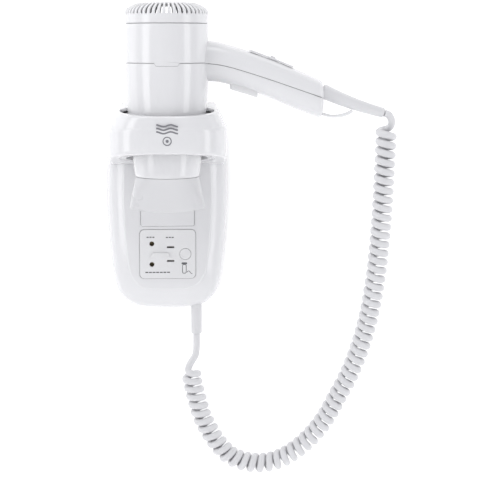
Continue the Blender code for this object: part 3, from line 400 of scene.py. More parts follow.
def layered(name, light, dark, scale, roughness, bands="X"):
    """Fine bands over a cloudy colour: a taped winding, a mica sheet or a woven filter."""
    made = bpy.data.materials.new(name)
    made.use_nodes = True
    tree = made.node_tree
    shader = tree.nodes["Principled BSDF"]
    wave = tree.nodes.new("ShaderNodeTexWave")
    wave.bands_direction = bands
    wave.inputs["Scale"].default_value = scale
    wave.inputs["Distortion"].default_value = 0.6
    wave.inputs["Detail Scale"].default_value = 30.0
    place = tree.nodes.new("ShaderNodeTexCoord").outputs["Object"]
    tree.links.new(place, wave.inputs["Vector"])
    tree.links.new(mixed(tree, wave.outputs["Fac"], dark, light), shader.inputs["Base Color"])
    cloud = noise_in(tree, place, 120.0, 3.0)
    rough = ranged(tree, cloud, 0.3, 0.7, roughness * 0.8, roughness * 1.2)
    tree.links.new(rough, shader.inputs["Roughness"])
    bumped(tree, shader, wave.outputs["Fac"], 0.4, 0.1 * MM)
    return made


FINISHES = {
    "gloss_white": moulded("gloss_white", WHITE, 0.17, 0.10, 650.0, coat=0.35),
    "satin_white": moulded("satin_white", (0.775, 0.775, 0.785), 0.34, 0.25, 1100.0, dust=0.3),
    "cord_white": moulded("cord_white", (0.70, 0.70, 0.715), 0.33, 0.30, 900.0, dust=0.15),
    "grey_plastic": moulded("grey_plastic", (0.42, 0.42, 0.43), 0.45, 0.4, 1200.0),
    "dark_plastic": moulded("dark_plastic", (0.035, 0.035, 0.04), 0.42, 0.4, 1200.0),
    "steel": metal("steel", (0.62, 0.62, 0.64), 0.28),
    # Brass colour, darkened well below its own tone: painted shade for the contacts sitting deep in the
    # socket's holes.
    "brass": metal("brass", (0.34, 0.29, 0.20), 0.30),
    "copper": layered("copper", (0.72, 0.36, 0.18), (0.40, 0.16, 0.07), 380.0, 0.4, "Z"),
    "mica": layered("mica", (0.66, 0.60, 0.46), (0.52, 0.45, 0.33), 160.0, 0.5, "DIAGONAL"),
}
# A darker copy of the shells' white: painted shade for the nozzle's faces, turned down away from the light.
NOZZLE_SHADED_WHITE = moulded("nozzle_white_painted_shade", (0.66, 0.66, 0.675), 0.30, 0.25, 900.0, dust=0.2)
FILTER_WEAVE = layered("filter_weave", (0.34, 0.34, 0.35), (0.10, 0.10, 0.11), 420.0, 0.7, "DIAGONAL")
INK = moulded("print_ink", (0.13, 0.13, 0.14), 0.5, 0.2, 1500.0, dust=0.1)
PALE_INK = moulded("print_grey", (0.20, 0.20, 0.22), 0.45, 0.2, 1500.0, dust=0.1)
# A dark grey for painted shade in gaps: the strip at the wall and the lines in the handle's seam.
GAP_SHADE_GREY = moulded("gap_shade_grey", (0.16, 0.16, 0.17), 0.6, 0.3, 1500.0, dust=0.1)


def finish_frame_nodes():
    """The frame's own nodes take the finish of their slot; the ones that stay in sight are mostly inside."""
    for part in frame["record"]["subparts"]:
        node = frame["nodes"].get(part["node"])
        if node is not None:
            node.data.materials.clear()
            node.data.materials.append(FINISHES[part["material_slot"]])
    node = frame["nodes"]["inlet_filter"]
    node.data.materials.clear()
    node.data.materials.append(FILTER_WEAVE)


# ---------------------------------------------------------------- cord

CORD_RADIUS = 3.15 * MM
COIL_MEAN_RADIUS = 6.15 * MM
COIL_TURNS = 60
POINTS_A_TURN = 22
SLEEVE_END = (26.5, -15.0, -118.3)
LOWER_ROUTE = [SLEEVE_END, (26.5, -15.0, -131.0), (25.2, -15.2, -140.0), (20.5, -15.8, -147.2)]
UPPER_ROUTE = [(189.2, -72.0, 89.1), (193.2, -72.0, 87.4), (196.8, -72.0, 83.4)]
COIL_ROUTE = [
    (21.4, -16.0, -153.2), (22.6, -16.0, -163.9), (26.0, -16.3, -178.0), (31.0, -17.2, -196.0),
    (37.8, -18.2, -210.0), (46.3, -19.5, -223.3), (57.0, -21.1, -234.3), (71.3, -22.9, -240.2),
    (87.0, -25.0, -241.2), (101.5, -26.9, -237.7), (114.0, -29.2, -230.4), (125.8, -31.3, -220.5),
    (136.9, -34.0, -207.6), (146.3, -37.0, -192.8), (154.4, -40.3, -175.6), (165.3, -44.9, -151.6),
    (173.6, -49.2, -127.0), (180.4, -54.3, -98.0), (185.0, -59.5, -65.3), (187.5, -64.0, -33.9),
    (188.9, -67.6, -2.8), (189.8, -70.4, 30.6), (190.6, -71.8, 62.0), (190.6, -72.0, 76.6),
]


def coil_path():
    """A helix about the coil's route: the route's point plus the mean radius times the angle's cosine
    across it and sine to the front."""
    count = COIL_TURNS * POINTS_A_TURN + 1
    route = smooth_run(np.array(COIL_ROUTE) * MM, count)
    along = unit(np.gradient(route, axis=0))
    front = np.array([0.0, -1.0, 0.0])
    front = unit(front - along * (along @ front)[:, None])
    across = np.cross(along, front)
    angle = np.linspace(0, 2 * math.pi * COIL_TURNS, count)[:, None]
    return route + COIL_MEAN_RADIUS * (np.cos(angle) * across + np.sin(angle) * front)


def eased(path, start, stop, rounds=14):
    """Softens the path between two of its points, where a straight stretch runs into the coil."""
    path = path.copy()
    for _ in range(rounds):
        part = path[start - 1:stop + 1]
        path[start:stop] = (part[:-2] + 2 * part[1:-1] + part[2:]) / 4
    return path


def cord(fittings):
    """One length of cord from the holder's sleeve to the handle's guard."""
    lower = smooth_run(np.array(LOWER_ROUTE) * MM, 18)
    upper = smooth_run(np.array(UPPER_ROUTE) * MM, 9)[::-1]
    turns = coil_path()
    path = np.vstack([lower, turns, upper])
    first, last = len(lower), len(lower) + len(turns)
    path = eased(path, first - 5, first + 6)
    path = eased(path, last - 6, last + 5)
    made = sheet_piece("curly_cord", swept_grid(path, CORD_RADIUS, 14), FINISHES["cord_white"], caps=True,
                       smooth_angle=60)
    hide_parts("cord_lower", "cord_coil", "cord_upper")
    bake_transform(made)



# ---------------------------------------------------------------- dryer

BARREL_CURVE = [(35.3, 27.9), (50.0, 29.7), (70.0, 31.9), (92.0, 34.0), (112.0, 35.5), (132.7, 36.0),
                (165.7, 35.7)]
HANDLE_SECTIONS = [
    (28.0, 151.4, 117.0), (37.1, 151.3, 116.9), (46.0, 149.9, 116.0), (58.0, 146.5, 113.1),
    (71.0, 142.4, 109.2), (90.0, 135.6, 102.2), (109.0, 128.0, 94.2), (126.0, 120.6, 87.6),
    (131.5, 118.0, 86.0), (133.6, 116.4, 87.2), (134.0, 114.5, 89.2),
]
PARTING = [(20.0, 132.6), (36.0, 132.1), (50.8, 129.8), (70.4, 124.2), (95.0, 116.2), (142.0, 100.0)]
HANDLE_DEPTH, HANDLE_END_DEPTH = 15.0, 13.0
SECTION_POWER = 0.8
CAP_RIM = 175.5 * MM
CAP_RADIUS = 35.6 * MM
CAP_SLOTS, CAP_SLOT_WIDTH, CAP_SLOT_START = 50, 1.9 * MM, 24.5 * MM
CAP_WALL = 1.8 * MM
ROLL = 0.45 * MM              # radius of a moulded seam edge


def dressed(made, body, slot, *nodes):
    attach(made, body)
    if nodes:
        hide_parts(*nodes)
    return made


def signed_power(value, power):
    return np.sign(value) * np.abs(value) ** power


def barrel_radius(z):
    curve = smooth_run(BARREL_CURVE, 90) * MM
    return np.interp(z, curve[:, 0], curve[:, 1])


def barrel_band(low, high, count):
    """Radius and height pairs up the barrel, with both edges rolled inwards."""
    heights = np.linspace(low + ROLL, high - ROLL, count)
    rows = [(barrel_radius(z), z) for z in heights]
    turn = np.linspace(0, math.pi / 2, 4)[1:]
    foot = [(barrel_radius(low) - ROLL * (1 - math.cos(a)), low + ROLL * (1 - math.sin(a))) for a in turn]
    head = [(barrel_radius(high) - ROLL * (1 - math.cos(a)), high - ROLL * (1 - math.sin(a))) for a in turn]
    foot.append((barrel_radius(low) - 1.8 * MM, low))
    head.append((barrel_radius(high) - 1.8 * MM, high))
    return foot[::-1] + rows + head


def handle_half(upper, count=64, across=26):
    """Half of the handle: at each place along it a superellipse, cut at the parting line, whose two
    edges roll inwards. The last ring is closed as the handle's end."""
    table = smooth_run(HANDLE_SECTIONS, count) * MM
    parting = smooth_run(PARTING, 60) * MM
    rows = []
    for x, top, bottom in table:
        centre, half = (top + bottom) / 2, (top - bottom) / 2
        deep = MM * np.interp(x, [0.120, 0.1315, HANDLE_END], [HANDLE_DEPTH, 14.6, HANDLE_END_DEPTH])
        seam = np.interp(x, parting[:, 0], parting[:, 1]) + (HAIRLINE if upper else -HAIRLINE)
        row = []
        for inset, lift in ((1.6 * MM, 0.0), (0.30 * MM, 0.0), (0.08 * MM, 0.18 * MM)):
            row.append((inset, seam + (lift if upper else -lift)))
        level = (seam + (0.4 if upper else -0.4) * MM - centre) / half
        start = math.asin(float(signed_power(np.clip(level, -1, 1), 1 / SECTION_POWER)))
        stop = math.pi - start if upper else -math.pi - start
        ring = []
        for turn in np.linspace(start, stop, across):
            y = deep * signed_power(math.cos(turn), SECTION_POWER)
            z = centre + half * signed_power(math.sin(turn), SECTION_POWER)
            ring.append((x, AXIS_Y + y, z))
        edge = ring[0][1] - AXIS_Y
        first = [(x, AXIS_Y + edge - inset, z) for inset, z in row]
        last = [(x, AXIS_Y - edge + inset, z) for inset, z in row][::-1]
        rows.append(first + ring + last)
    grid = np.array(rows)
    faces = grid_faces(*grid.shape[:2], wrap_columns=False).tolist()
    columns = grid.shape[1]
    faces.append(list(range(grid.shape[0] * columns - columns, grid.shape[0] * columns)))
    return piece("handle_half", grid.reshape(-1, 3), faces, FINISHES["gloss_white"], 40)


def handle_seam_shade():
    """A thin dark line in the gap along both sides of the handle: painted shade for the narrow gap between
    the shells.
    """
    table = smooth_run(HANDLE_SECTIONS, 70)[4:-3] * MM
    parting = smooth_run(PARTING, 60) * MM
    parts = []
    for side in (1, -1):
        path = []
        for x, top, bottom in table:
            centre, half = (top + bottom) / 2, (top - bottom) / 2
            z = np.interp(x, parting[:, 0], parting[:, 1])
            level = abs(float(np.clip((z - centre) / half, -1, 1))) ** (1 / SECTION_POWER)
            deep = HANDLE_DEPTH * MM * math.sqrt(1 - level**2) ** SECTION_POWER
            path.append((x, AXIS_Y + side * (deep - 0.28 * MM), z))
        # A dark grey line filling the seam's gap: painted shade.
        parts.append(sheet_piece("seam_shade_line", swept_grid(path, 0.2 * MM, 8), GAP_SHADE_GREY, caps=True))
    dressed(joined("handle_seam_shade", parts), "dryer", "grey_plastic")


def shells():
    """The rear shell has the barrel's back end and the top of the handle, the front shell the rest."""
    white = FINISHES["gloss_white"]
    front = turned_grid(barrel_band(BARREL_END, SHELL_SEAM - HAIRLINE, 40), 144)
    rear = turned_grid(barrel_band(SHELL_SEAM + HAIRLINE, CAP_SEAM, 14), 144)
    front, rear = sheet_piece("barrel_front", front, white), sheet_piece("barrel_rear", rear, white)
    dressed(joined("front_shell_skin", [front, handle_half(False)]), "dryer", "gloss_white", "front_shell")
    dressed(joined("rear_shell_skin", [rear, handle_half(True)]), "dryer", "gloss_white", "rear_shell")


def rear_cap():
    """A dome whose radius falls as the cosine of an angle to the power 0.86 while its height rises as the
    sine to the power 1.15. Fifty slots of even width run from its brow over the rim."""
    foot = CAP_BOX[0][2] + 0.05 * MM
    slot_floor = CAP_RIM - 1.6 * MM
    rise = CAP_APEX - CAP_RIM
    profile = [(CAP_RADIUS - 0.5 * MM, foot), (CAP_RADIUS - 0.12 * MM, foot + 0.15 * MM),
               (CAP_RADIUS, foot + 0.5 * MM)]
    profile += [(CAP_RADIUS, z) for z in np.linspace(foot + 1.4 * MM, slot_floor, 5)]
    profile.append((CAP_RADIUS, CAP_RIM - 0.6 * MM))
    for turn in np.linspace(0.0, math.pi / 2, 30)[:-1]:
        profile.append((CAP_RADIUS * math.cos(turn) ** 0.86, CAP_RIM + rise * math.sin(turn) ** 1.15))
    profile = np.array(profile)
    pitch = 2 * math.pi / CAP_SLOTS
    angles, in_slot = [], []
    shares = np.array([-1.0, -0.33, 0.33, 1.0])
    for slot in range(CAP_SLOTS):
        middle = (slot + 0.5) * pitch
        wide = np.arcsin(np.clip(CAP_SLOT_WIDTH / 2 / np.maximum(profile[:, 0], CAP_SLOT_START), 0, 1))
        for share in shares:
            angles.append(middle + share * wide)
            in_slot.append(share < 0.9)
        land = pitch - 2 * wide
        for share in (1 / 3, 2 / 3):
            angles.append(middle + wide + share * land)
            in_slot.append(False)
    angles = np.array(angles).T
    radius = profile[:, :1]
    grid = np.stack([radius * np.cos(angles), AXIS_Y + radius * np.sin(angles),
                     np.repeat(profile[:, 1:], angles.shape[1], axis=1)], -1)
    rows, columns = grid.shape[:2]
    open_rows = (profile[:-1, 1] >= slot_floor - 1e-6) & (profile[1:, 0] >= CAP_SLOT_START)
    faces = grid_faces(rows, columns).reshape(rows - 1, columns, 4)
    kept = [face for row in range(rows - 1) for column, face in enumerate(faces[row].tolist())
            if not (open_rows[row] and in_slot[column])]
    kept.append(list(range((rows - 1) * columns, rows * columns)))
    made = piece("rear_cap_skin", grid.reshape(-1, 3), kept, FINISHES["gloss_white"], 40)
    thick = made.modifiers.new("wall", "SOLIDIFY")
    thick.thickness, thick.offset = CAP_WALL, -1.0
    return dressed(made, "rear_cap", "gloss_white", "rear_cap")


def nozzle():
    """A round sleeve drawn into a flat mouth: at each share of the way down, a superellipse whose power
    falls with the share, its rim dropped most at the middle."""
    top = 35.0 * MM
    turn = np.linspace(0, 2 * math.pi, 144, endpoint=False)
    rows = []
    for share in np.concatenate([[0.0, 0.004], np.linspace(0.02, 0.985, 34), [0.996, 1.0]]):
        wide = (27.6 + (33.2 - 27.9) * share) * MM
        deep = (27.6 + (9.5 - 27.9) * share**0.85) * MM
        power = 2 / (2 + 1.6 * share)
        tuck = 0.35 * MM * (share in (0.0, 1.0)) + 0.1 * MM * (share in (0.004, 0.996))
        x = (wide - tuck) * signed_power(np.cos(turn), power)
        y = (deep - tuck) * signed_power(np.sin(turn), power)
        drop = 3.6 * MM * share * (1 - (x / wide) ** 2)
        rows.append(np.stack([x, AXIS_Y + y, top + (7.5 * MM - top) * share - drop], -1))
    made = sheet_piece("nozzle_skin", np.array(rows), NOZZLE_SHADED_WHITE, smooth_angle=50)
    thick = made.modifiers.new("wall", "SOLIDIFY")
    thick.thickness, thick.offset = 1.5 * MM, -1.0
    dressed(made, "nozzle", "gloss_white", "nozzle")
    neck = [(23.5, 34.5), (25.0, 34.5), (25.0, 36.6), (23.5, 36.6)]
    inner = sheet_piece("nozzle_neck", turned_grid(np.array(neck) * MM, 96), NOZZLE_SHADED_WHITE,
                        wrap_rows=True)
    dressed(inner, "nozzle", "gloss_white")



# ---------------------------------------------------------------- holder

COVER_OUTLINE = [
    (0.0, 1.0), (0.36, 1.0), (0.63, 0.995), (0.79, 0.95), (0.87, 0.87), (0.945, 0.76), (0.98, 0.6),
    (1.0, 0.12), (0.968, -0.3), (0.935, -0.5), (0.895, -0.68), (0.83, -0.82), (0.72, -0.91),
    (0.58, -0.965), (0.38, -0.992), (0.0, -1.0),
]
COVER_LEVELS = [(1.6, 1.0, 1.0), (10.0, 1.0, 1.0), (15.0, 0.99, 0.992), (19.0, 0.965, 0.975),
                (22.0, 0.93, 0.95), (26.0, 0.85, 0.885), (28.6, 0.772, 0.82)]
CREASE_LEVELS = [(28.9, 0.762, 0.813), (29.2, 0.752, 0.806), (29.5, 0.735, 0.79), (30.6, 0.722, 0.779),
                 (30.95, 0.718, 0.776), (31.0, 0.716, 0.774)]
COVER_HALF_WIDTH = COVER_BOX[1][0]
COVER_TOP, COVER_BOTTOM = 95.5 * MM, -94.8 * MM
EDGE_IN = 0.4 * MM            # the dish stands this far inside the dark strip of painted shadow at the wall
COLLAR_LEVELS = [
    (0.0, 1.4, 1.6), (0.015, 0.8, 1.1), (0.04, 0.4, 0.8), (0.1, 0.18, 0.5), (0.25, 0.0, 0.2),
    (0.57, 0.1, 0.0), (0.655, 0.6, 0.1), (0.67, 1.1, 0.3), (0.69, 1.65, 0.6), (0.706, 1.85, 0.75),
    (0.83, 4.5, 1.9), (0.95, 7.0, 3.0), (0.975, 7.7, 3.4), (0.99, 8.3, 3.8), (0.997, 8.9, 4.3),
    (1.0, 9.7, 5.1),
]
COLLAR_HALF_WIDTH, COLLAR_DEPTH = 52.0 * MM, 116.8 * MM
COLLAR_CORNER, COLLAR_POWER = 62.0 * MM, 3.1
LINER_RADIUS = LINER_BOX[1][0]
BORE_TOP, BORE_BOTTOM = 39.5 * MM, 35.6 * MM


def collar_foot(depth):
    return COLLAR_FOOT + (depth + AXIS_Y) * math.tan(math.radians(10.5))


def collar_rim(depth):
    return COLLAR_RIM - (depth + AXIS_Y) * math.tan(math.radians(4.0))


def collar_plan(half_width, front, back=12 * MM, corner_points=34):
    """Straight sides and, from the corner's start to the front, a superellipse quarter on each side."""
    u = np.linspace(0, 1, corner_points)
    turn = math.pi / 2 * u * u * (3 - 2 * u)
    across = half_width * np.cos(turn) ** (2 / COLLAR_POWER)
    depth = COLLAR_CORNER + (front - COLLAR_CORNER) * np.sin(turn) ** (2 / COLLAR_POWER)
    side = np.linspace(back, COLLAR_CORNER, 12)[:-1]
    right = np.vstack([np.column_stack([np.full(11, half_width), side]), np.column_stack([across, depth])])
    right[-1, 0] = 0.0
    left = right[:-1][::-1] * [-1, 1]
    closing = np.column_stack([np.linspace(-half_width, half_width, 14)[1:-1], np.full(12, back)])
    return np.vstack([right, left, closing])


def holder_collar():
    """The collar's wall: its plan drawn in by each level's share from foot to rim, both of which slope.
    Then the top and the underside, drawn from the wall to the bore's circle."""
    rows = []
    for share, side_in, front_in in COLLAR_LEVELS:
        plan = collar_plan(COLLAR_HALF_WIDTH - side_in * MM, COLLAR_DEPTH - front_in * MM)
        foot, rim = collar_foot(plan[:, 1]), collar_rim(plan[:, 1])
        rows.append(np.column_stack([plan[:, 0], -plan[:, 1], foot + (rim - foot) * share]))
    for last, level, roll in ((rows[0], collar_foot, 1), (rows[-1], collar_rim, -1)):
        around = np.arctan2(last[:, 1] - AXIS_Y, last[:, 0])
        radius = LINER_RADIUS + 0.1 * MM
        circle = np.column_stack([radius * np.cos(around), AXIS_Y + radius * np.sin(around)])
        extra = []
        for share in (0.25, 0.6, 0.9, 1.0):
            flat = last[:, :2] * (1 - share) + circle * share
            drop = 0.5 * MM * max(0.0, share - 0.9) * 10 * roll
            extra.append(np.column_stack([flat, level(-flat[:, 1]) + drop]))
        inner = extra[-1].copy()
        inner[:, 2] += 2.4 * MM * roll
        extra.append(inner)
        rows = extra[::-1] + rows if roll == 1 else rows + extra
    made = sheet_piece("collar_skin", np.array(rows), FINISHES["gloss_white"], smooth_angle=50)
    return dressed(made, "holder", "gloss_white", "holder_collar")


def cover_ring(depth, scale_x, scale_z, inset=0.0):
    half = smooth_run(COVER_OUTLINE, 90)
    outline = np.vstack([half, half[1:-1][::-1] * [-1, 1]])
    x = outline[:, 0] * COVER_HALF_WIDTH * scale_x
    z = np.where(outline[:, 1] > 0, COVER_TOP, -COVER_BOTTOM) * outline[:, 1] * scale_z
    shrink = 1 - inset / COVER_HALF_WIDTH
    return np.column_stack([x * shrink, np.full(len(x), -depth), z * shrink])


def holder_cover():
    """The dish: one outline drawn in by each level, rolled at the wall and creased round the flat panel."""
    levels = smooth_run(COVER_LEVELS, 26)
    rows = [cover_ring(2.2 * MM, 1, 1, 2.4 * MM), cover_ring(1.05 * MM, 1, 1, 2.0 * MM),
            cover_ring(1.05 * MM, 1, 1, 0.9 * MM), cover_ring(1.2 * MM, 1, 1, 0.55 * MM)]
    rows += [cover_ring(depth * MM, wide, high, EDGE_IN) for depth, wide, high in [*levels, *CREASE_LEVELS]]
    made = sheet_piece("cover_skin", np.array(rows), FINISHES["gloss_white"], smooth_angle=40)
    # The panel has the socket's and the pad's openings, so it is filled as a face with holes.
    shape = bmesh.new()
    shape.from_mesh(made.data)
    edges = [edge for edge in shape.edges if edge.is_boundary and max(v.co.y for v in edge.verts) < -30 * MM]
    for low, high, corner, room in ((SOCKET_BOX[0], SOCKET_BOX[1], 4.0 * MM, 0.3 * MM),
                                    (PAD_BOX[0], PAD_BOX[1], 1.6 * MM, 0.3 * MM)):
        loop = rounded_loop(low[0] - room, low[2] - room, high[0] + room, high[2] + room, corner + room)
        front = [shape.verts.new((x, PANEL_Y, z)) for x, z in loop]
        back = [shape.verts.new((x, PANEL_Y + 1.6 * MM, z)) for x, z in loop]
        edges += [shape.edges.new((a, b)) for a, b in zip(front, front[1:] + front[:1])]
        for a, b, c, d in zip(front, front[1:] + front[:1], back[1:] + back[:1], back):
            shape.faces.new((a, b, c, d))
    bmesh.ops.triangle_fill(shape, edges=edges, use_beauty=True, use_dissolve=False, normal=(0, -1, 0))
    shape.to_mesh(made.data)
    shape.free()
    finish_mesh(made, 40)
    return dressed(made, "holder", "gloss_white", "holder_cover")


def painted_gap_shadow():
    """A thin dark strip between the cover's edge and the wall: painted shadow for the gap there."""
    rows = [cover_ring(depth * MM, 1, 1, inset * MM)
            for depth, inset in ((0.15, 3.0), (0.15, 0.3), (0.3, 0.05), (0.9, 0.05), (1.1, 0.3), (1.1, 3.0))]
    # A dark grey strip filling the gap at the wall: painted shadow.
    made = sheet_piece("painted_gap_shadow", np.array(rows), GAP_SHADE_GREY)
    dressed(made, "holder", "grey_plastic")


def rounded_loop(x0, z0, x1, z1, radius, steps=8):
    points = []
    for cx, cz, start in ((x1 - radius, z1 - radius, 0), (x0 + radius, z1 - radius, 90),
                          (x0 + radius, z0 + radius, 180), (x1 - radius, z0 + radius, 270)):
        for turn in np.radians(np.linspace(start, start + 90, steps)):
            points.append((cx + radius * math.cos(turn), cz + radius * math.sin(turn)))
    return points


def collar_liner():
    """The tapered bore: a turned band whose foot follows the collar's slope, with its seat ribs."""
    angle = np.linspace(0, 2 * math.pi, 160, endpoint=False)
    top = LINER_BOX[1][2]
    rows = []
    for edge, shares in ((LINER_RADIUS, (0.0, 1.0)), (None, np.linspace(1.0, 0.0, 10))):
        for share in shares:
            z = np.full(len(angle), top)
            for _ in range(3):
                cone = BORE_BOTTOM + (BORE_TOP - BORE_BOTTOM) * (z - COLLAR_FOOT) / (COLLAR_RIM - COLLAR_FOOT)
                radius = np.full(len(angle), edge) if edge else cone
                foot = collar_foot(-(AXIS_Y + radius * np.sin(angle))) + 0.8 * MM
                z = foot + (top - foot) * share
            rows.append(np.column_stack([radius * np.cos(angle), AXIS_Y + radius * np.sin(angle), z]))
    band = sheet_piece("liner_band", np.array(rows), FINISHES["satin_white"], wrap_rows=True, smooth_angle=40)
    ribs = []
    for place in range(6):
        turn = 2 * math.pi * (place + 0.5) / 6
        near, far = SEAT_RADIUS + 0.3 * MM, BORE_TOP
        low, high = top - 9 * MM, top - 1 * MM
        outline = [(far, low), (near, low + 3 * MM), (near, high - 0.8 * MM), (near + 0.8 * MM, high),
                   (far, high)]
        rib = []
        for side in (-1.2 * MM, 1.2 * MM):
            rib.append([(u * math.cos(turn) - side * math.sin(turn),
                         AXIS_Y + u * math.sin(turn) + side * math.cos(turn), z) for u, z in outline])
        ribs.append(sheet_piece("seat_rib", rib, FINISHES["satin_white"], caps=True))
    return dressed(joined("collar_liner_skin", [band, *ribs]), "holder", "satin_white", "collar_liner")



# ---------------------------------------------------------------- small parts

def refined(node, bevel=0.25 * MM, segments=3, finish=None, body="holder", slot="satin_white"):
    """A copy of a flat-sided node, its coplanar triangles merged and its edges rounded."""
    source = frame["nodes"][node]
    mesh = source.data.copy()
    mesh.transform(source.matrix_world)
    made = bpy.data.objects.new(f"{node}_skin", mesh)
    bpy.context.scene.collection.objects.link(made)
    shape = bmesh.new()
    shape.from_mesh(mesh)
    bmesh.ops.remove_doubles(shape, verts=shape.verts, dist=0.002 * MM)
    bmesh.ops.dissolve_limit(shape, angle_limit=math.radians(1.5), verts=shape.verts, edges=shape.edges)
    shape.to_mesh(mesh)
    shape.free()
    mesh.materials.clear()
    mesh.materials.append(finish or FINISHES[slot])
    mesh.shade_smooth()
    mesh.set_sharp_from_angle(angle=math.radians(50))
    rounded = made.modifiers.new("rounded edges", "BEVEL")
    rounded.width, rounded.segments = bevel, segments
    rounded.limit_method, rounded.angle_limit = "ANGLE", math.radians(35)
    rounded.harden_normals = True
    return dressed(made, body, slot, node)


def flat_shape(name, outline, front, thick, finish):
    """A thin raised print: an outline on the face, drawn out by its thickness."""
    rows = [[(x, front - level, z) for x, z in outline] for level in (-0.05 * MM, thick)]
    return sheet_piece(name, rows, finish, caps=True)


def arc_line(points, width):
    """The outline of a line of even width along the points, given as x and z."""
    points = np.asarray(points, float)
    along = unit(np.gradient(points, axis=0))
    side = np.column_stack([-along[:, 1], along[:, 0]]) * width / 2
    return np.vstack([points + side, (points - side)[::-1]])


def airflow_sign():
    """Three plain waves over a ring: a generic sign for moving air, in grey on the collar's front."""
    front = -(COLLAR_DEPTH - 0.1 * MM)
    parts = []
    for place in (-1, 0, 1):
        x = np.linspace(-9.0, 9.0, 40) * MM
        z = 78.6 * MM + place * 2.9 * MM + 0.75 * MM * np.sin(x / (9.0 * MM) * math.pi * 1.5)
        wave = arc_line(np.column_stack([x, z]), 1.3 * MM)
        parts.append(flat_shape("wave", wave, front, 0.12 * MM, PALE_INK))
    turn = np.linspace(0, 2 * math.pi, 49)
    middle = 68.6 * MM
    outer = np.column_stack([3.4 * MM * np.cos(turn), middle + 3.4 * MM * np.sin(turn)])
    parts.append(flat_shape("ring", arc_line(outer, 0.8 * MM), front, 0.12 * MM, PALE_INK))
    dot = [(1.3 * MM * math.cos(a), middle + 1.3 * MM * math.sin(a)) for a in turn[:-1]]
    parts.append(flat_shape("dot", dot, front, 0.12 * MM, PALE_INK))
    dressed(joined("airflow_sign", parts), "holder", "grey_plastic")


def socket_signs():
    """Plain signs in place of lettering: a short bar over each pair of pins, a rule, and a razor outline."""
    front = PANEL_Y - 0.5 * MM
    parts = []
    for x, z, wide in ((-14.6, -25.6, 9.0), (2.6, -25.8, 8.4), (-8.4, -58.0, 24.0)):
        dash = 1.9 if wide < 12 else 2.6
        for step in range(int(wide / (dash + 0.7))):
            left = (x - wide / 2 + step * (dash + 0.7)) * MM
            parts.append(flat_shape("dash", [(left, z * MM), (left + dash * MM, z * MM),
                                             (left + dash * MM, (z + 1.0) * MM), (left, (z + 1.0) * MM)],
                                    front, 0.08 * MM, INK))
    body = rounded_loop(13.4 * MM, -58.4 * MM, 16.8 * MM, -50.4 * MM, 1.2 * MM, 5)
    body = arc_line(np.array(body + body[:1]), 0.55 * MM)
    parts.append(flat_shape("razor_body", body, front, 0.08 * MM, INK))
    head = rounded_loop(12.6 * MM, -50.2 * MM, 17.6 * MM, -48.4 * MM, 0.5 * MM, 3)
    parts.append(flat_shape("razor_head", head, front, 0.08 * MM, INK))
    x = np.linspace(17.4, 22.4, 24)
    lead = np.column_stack([x, -57.6 + 1.3 * np.sin((x - 17.4) / 5.0 * math.pi * 1.6)]) * MM
    parts.append(flat_shape("razor_lead", arc_line(lead, 0.5 * MM), front, 0.08 * MM, INK))
    dressed(joined("socket_signs", parts), "holder", "dark_plastic")


def seam_tab():
    """The snap tab at the front of the shells' seam: a shallow lip with a grey line under it, painted shade
    in the gap beneath the lip.
    """
    reach = 10.6 * MM
    rows = []
    for lift, out in ((0.6, 0.05), (0.3, 0.28), (-1.9, 0.30), (-2.2, 0.22), (-2.3, -0.4)):
        x = np.linspace(-reach, reach, 40)
        edge = np.clip((reach - np.abs(x)) / (1.6 * MM), 0, 1)
        z = SHELL_SEAM + lift * MM * (edge if lift < 0 else 1.0)
        radius = barrel_radius(SHELL_SEAM) + out * MM
        rows.append(np.column_stack([x, AXIS_Y - np.sqrt(radius**2 - x**2), np.broadcast_to(z, x.shape)]))
    made = sheet_piece("seam_tab", np.array(rows), FINISHES["gloss_white"], wrap_columns=False)
    dressed(made, "dryer", "gloss_white")
    radius = barrel_radius(SHELL_SEAM) + 0.02 * MM
    path = np.column_stack([x, AXIS_Y - np.sqrt(radius**2 - x**2), SHELL_SEAM - 2.35 * MM * edge])
    # A grey line under the lip: painted shade in the seam's gap.
    dressed(sheet_piece("seam_tab_shade_line", swept_grid(path, 0.22 * MM, 8), FINISHES["grey_plastic"], caps=True),
            "dryer", "grey_plastic")


def cord_guard():
    """A tapering sleeve with a collar at the handle, bent a little down on its way to the cord."""
    root, tip = np.array((134.2, -72.0, 108.6)) * MM, np.array((188.6, -72.0, 89.3)) * MM
    share = np.linspace(0, 1, 60)[:, None]
    path = root + (tip - root) * share
    path[:, 2] -= 1.4 * MM * np.sin(math.pi * share[:, 0])
    share = share[:, 0]
    radii = (6.5 - 2.3 * share**0.8) * MM
    radii = np.minimum(radii, radii * (0.86 + 0.14 * np.sqrt(np.clip(share / 0.02, 0, 1))))
    radii = radii * np.sqrt(np.clip((1.006 - share) / 0.02, 0.35, 1.0))
    made = sheet_piece("cord_guard_skin", swept_grid(path, radii, 40), FINISHES["cord_white"], caps=True)
    return dressed(made, "dryer", "cord_white", "cord_guard")


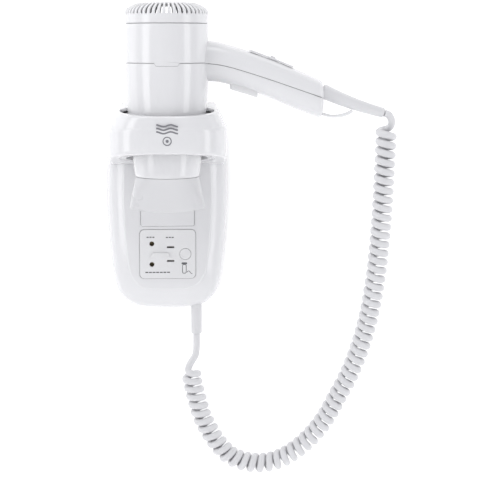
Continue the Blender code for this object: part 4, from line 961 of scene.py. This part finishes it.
def hanging_loop():
    """A flat strap with round edges from the handle's heel up to the guard."""
    points = [(134.6, 88.7), (141.7, 86.9), (149.0, 87.0), (156.0, 88.8), (160.6, 91.2)]
    path = smooth_run([(x, -72.0, z) for x, z in points], 40) * MM
    grid = swept_grid(path, 1.3 * MM, 24)
    middle = path[:, None]
    offset = grid - middle
    side = np.sign(offset[..., 1:2]) * np.abs(offset[..., 1:2] / (1.3 * MM)) ** 0.7
    grid = np.concatenate([grid[..., :1], middle[..., 1:2] + side * 3.6 * MM, grid[..., 2:]], -1)
    made = sheet_piece("hanging_loop_skin", grid, FINISHES["gloss_white"], caps=True, smooth_angle=60)
    return dressed(made, "dryer", "gloss_white", "hanging_loop")


def button_spring():
    """A copy of the finger button's spring, in steel, with a mesh of its own."""
    source = frame["nodes"]["button_spring"]
    mesh = source.data.copy()
    mesh.transform(source.matrix_world)
    mesh.materials.clear()
    mesh.materials.append(FINISHES["steel"])
    made = bpy.data.objects.new("button_spring_skin", mesh)
    bpy.context.scene.collection.objects.link(made)
    finish_mesh(made, 60, turn_out=False)
    dressed(made, "dryer", "steel", "button_spring")
    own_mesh(made)


def cord_sleeve():
    """The entry sleeve under the holder: a straight round sleeve with a collar and a rolled end."""
    x, y = SLEEVE_END[0] * MM, SLEEVE_END[1] * MM
    profile = [(3.3, -117.6), (3.6, -118.0), (4.4, -118.0), (4.85, -117.5), (4.95, -116.8), (4.95, -98.0),
               (4.95, -79.0), (3.3, -79.0)]
    grid = turned_grid(np.array(profile) * MM, 64, (x, y))
    made = sheet_piece("cord_sleeve_skin", grid, FINISHES["cord_white"])
    dressed(made, "holder", "cord_white", "cord_sleeve")
    return made



# ---------------------------------------------------------------- the scene

camera()
lights()
stage()
finish_frame_nodes()
cord([cord_sleeve(), cord_guard()])
shells()
rear_cap()
nozzle()
seam_tab()
handle_seam_shade()
hanging_loop()
holder_cover()
painted_gap_shadow()
holder_collar()
collar_liner()
airflow_sign()
socket_signs()
button_spring()
refined("socket_face")
refined("screw_plug", 0.15 * MM)
refined("screw_cover", 0.4 * MM, slot="gloss_white")
refined("switch_bezel", 0.3 * MM, body="dryer", slot="gloss_white")
refined("switch_slider", 0.3 * MM, body="slider")
refined("finger_button", 1.6 * MM, 5, body="button")
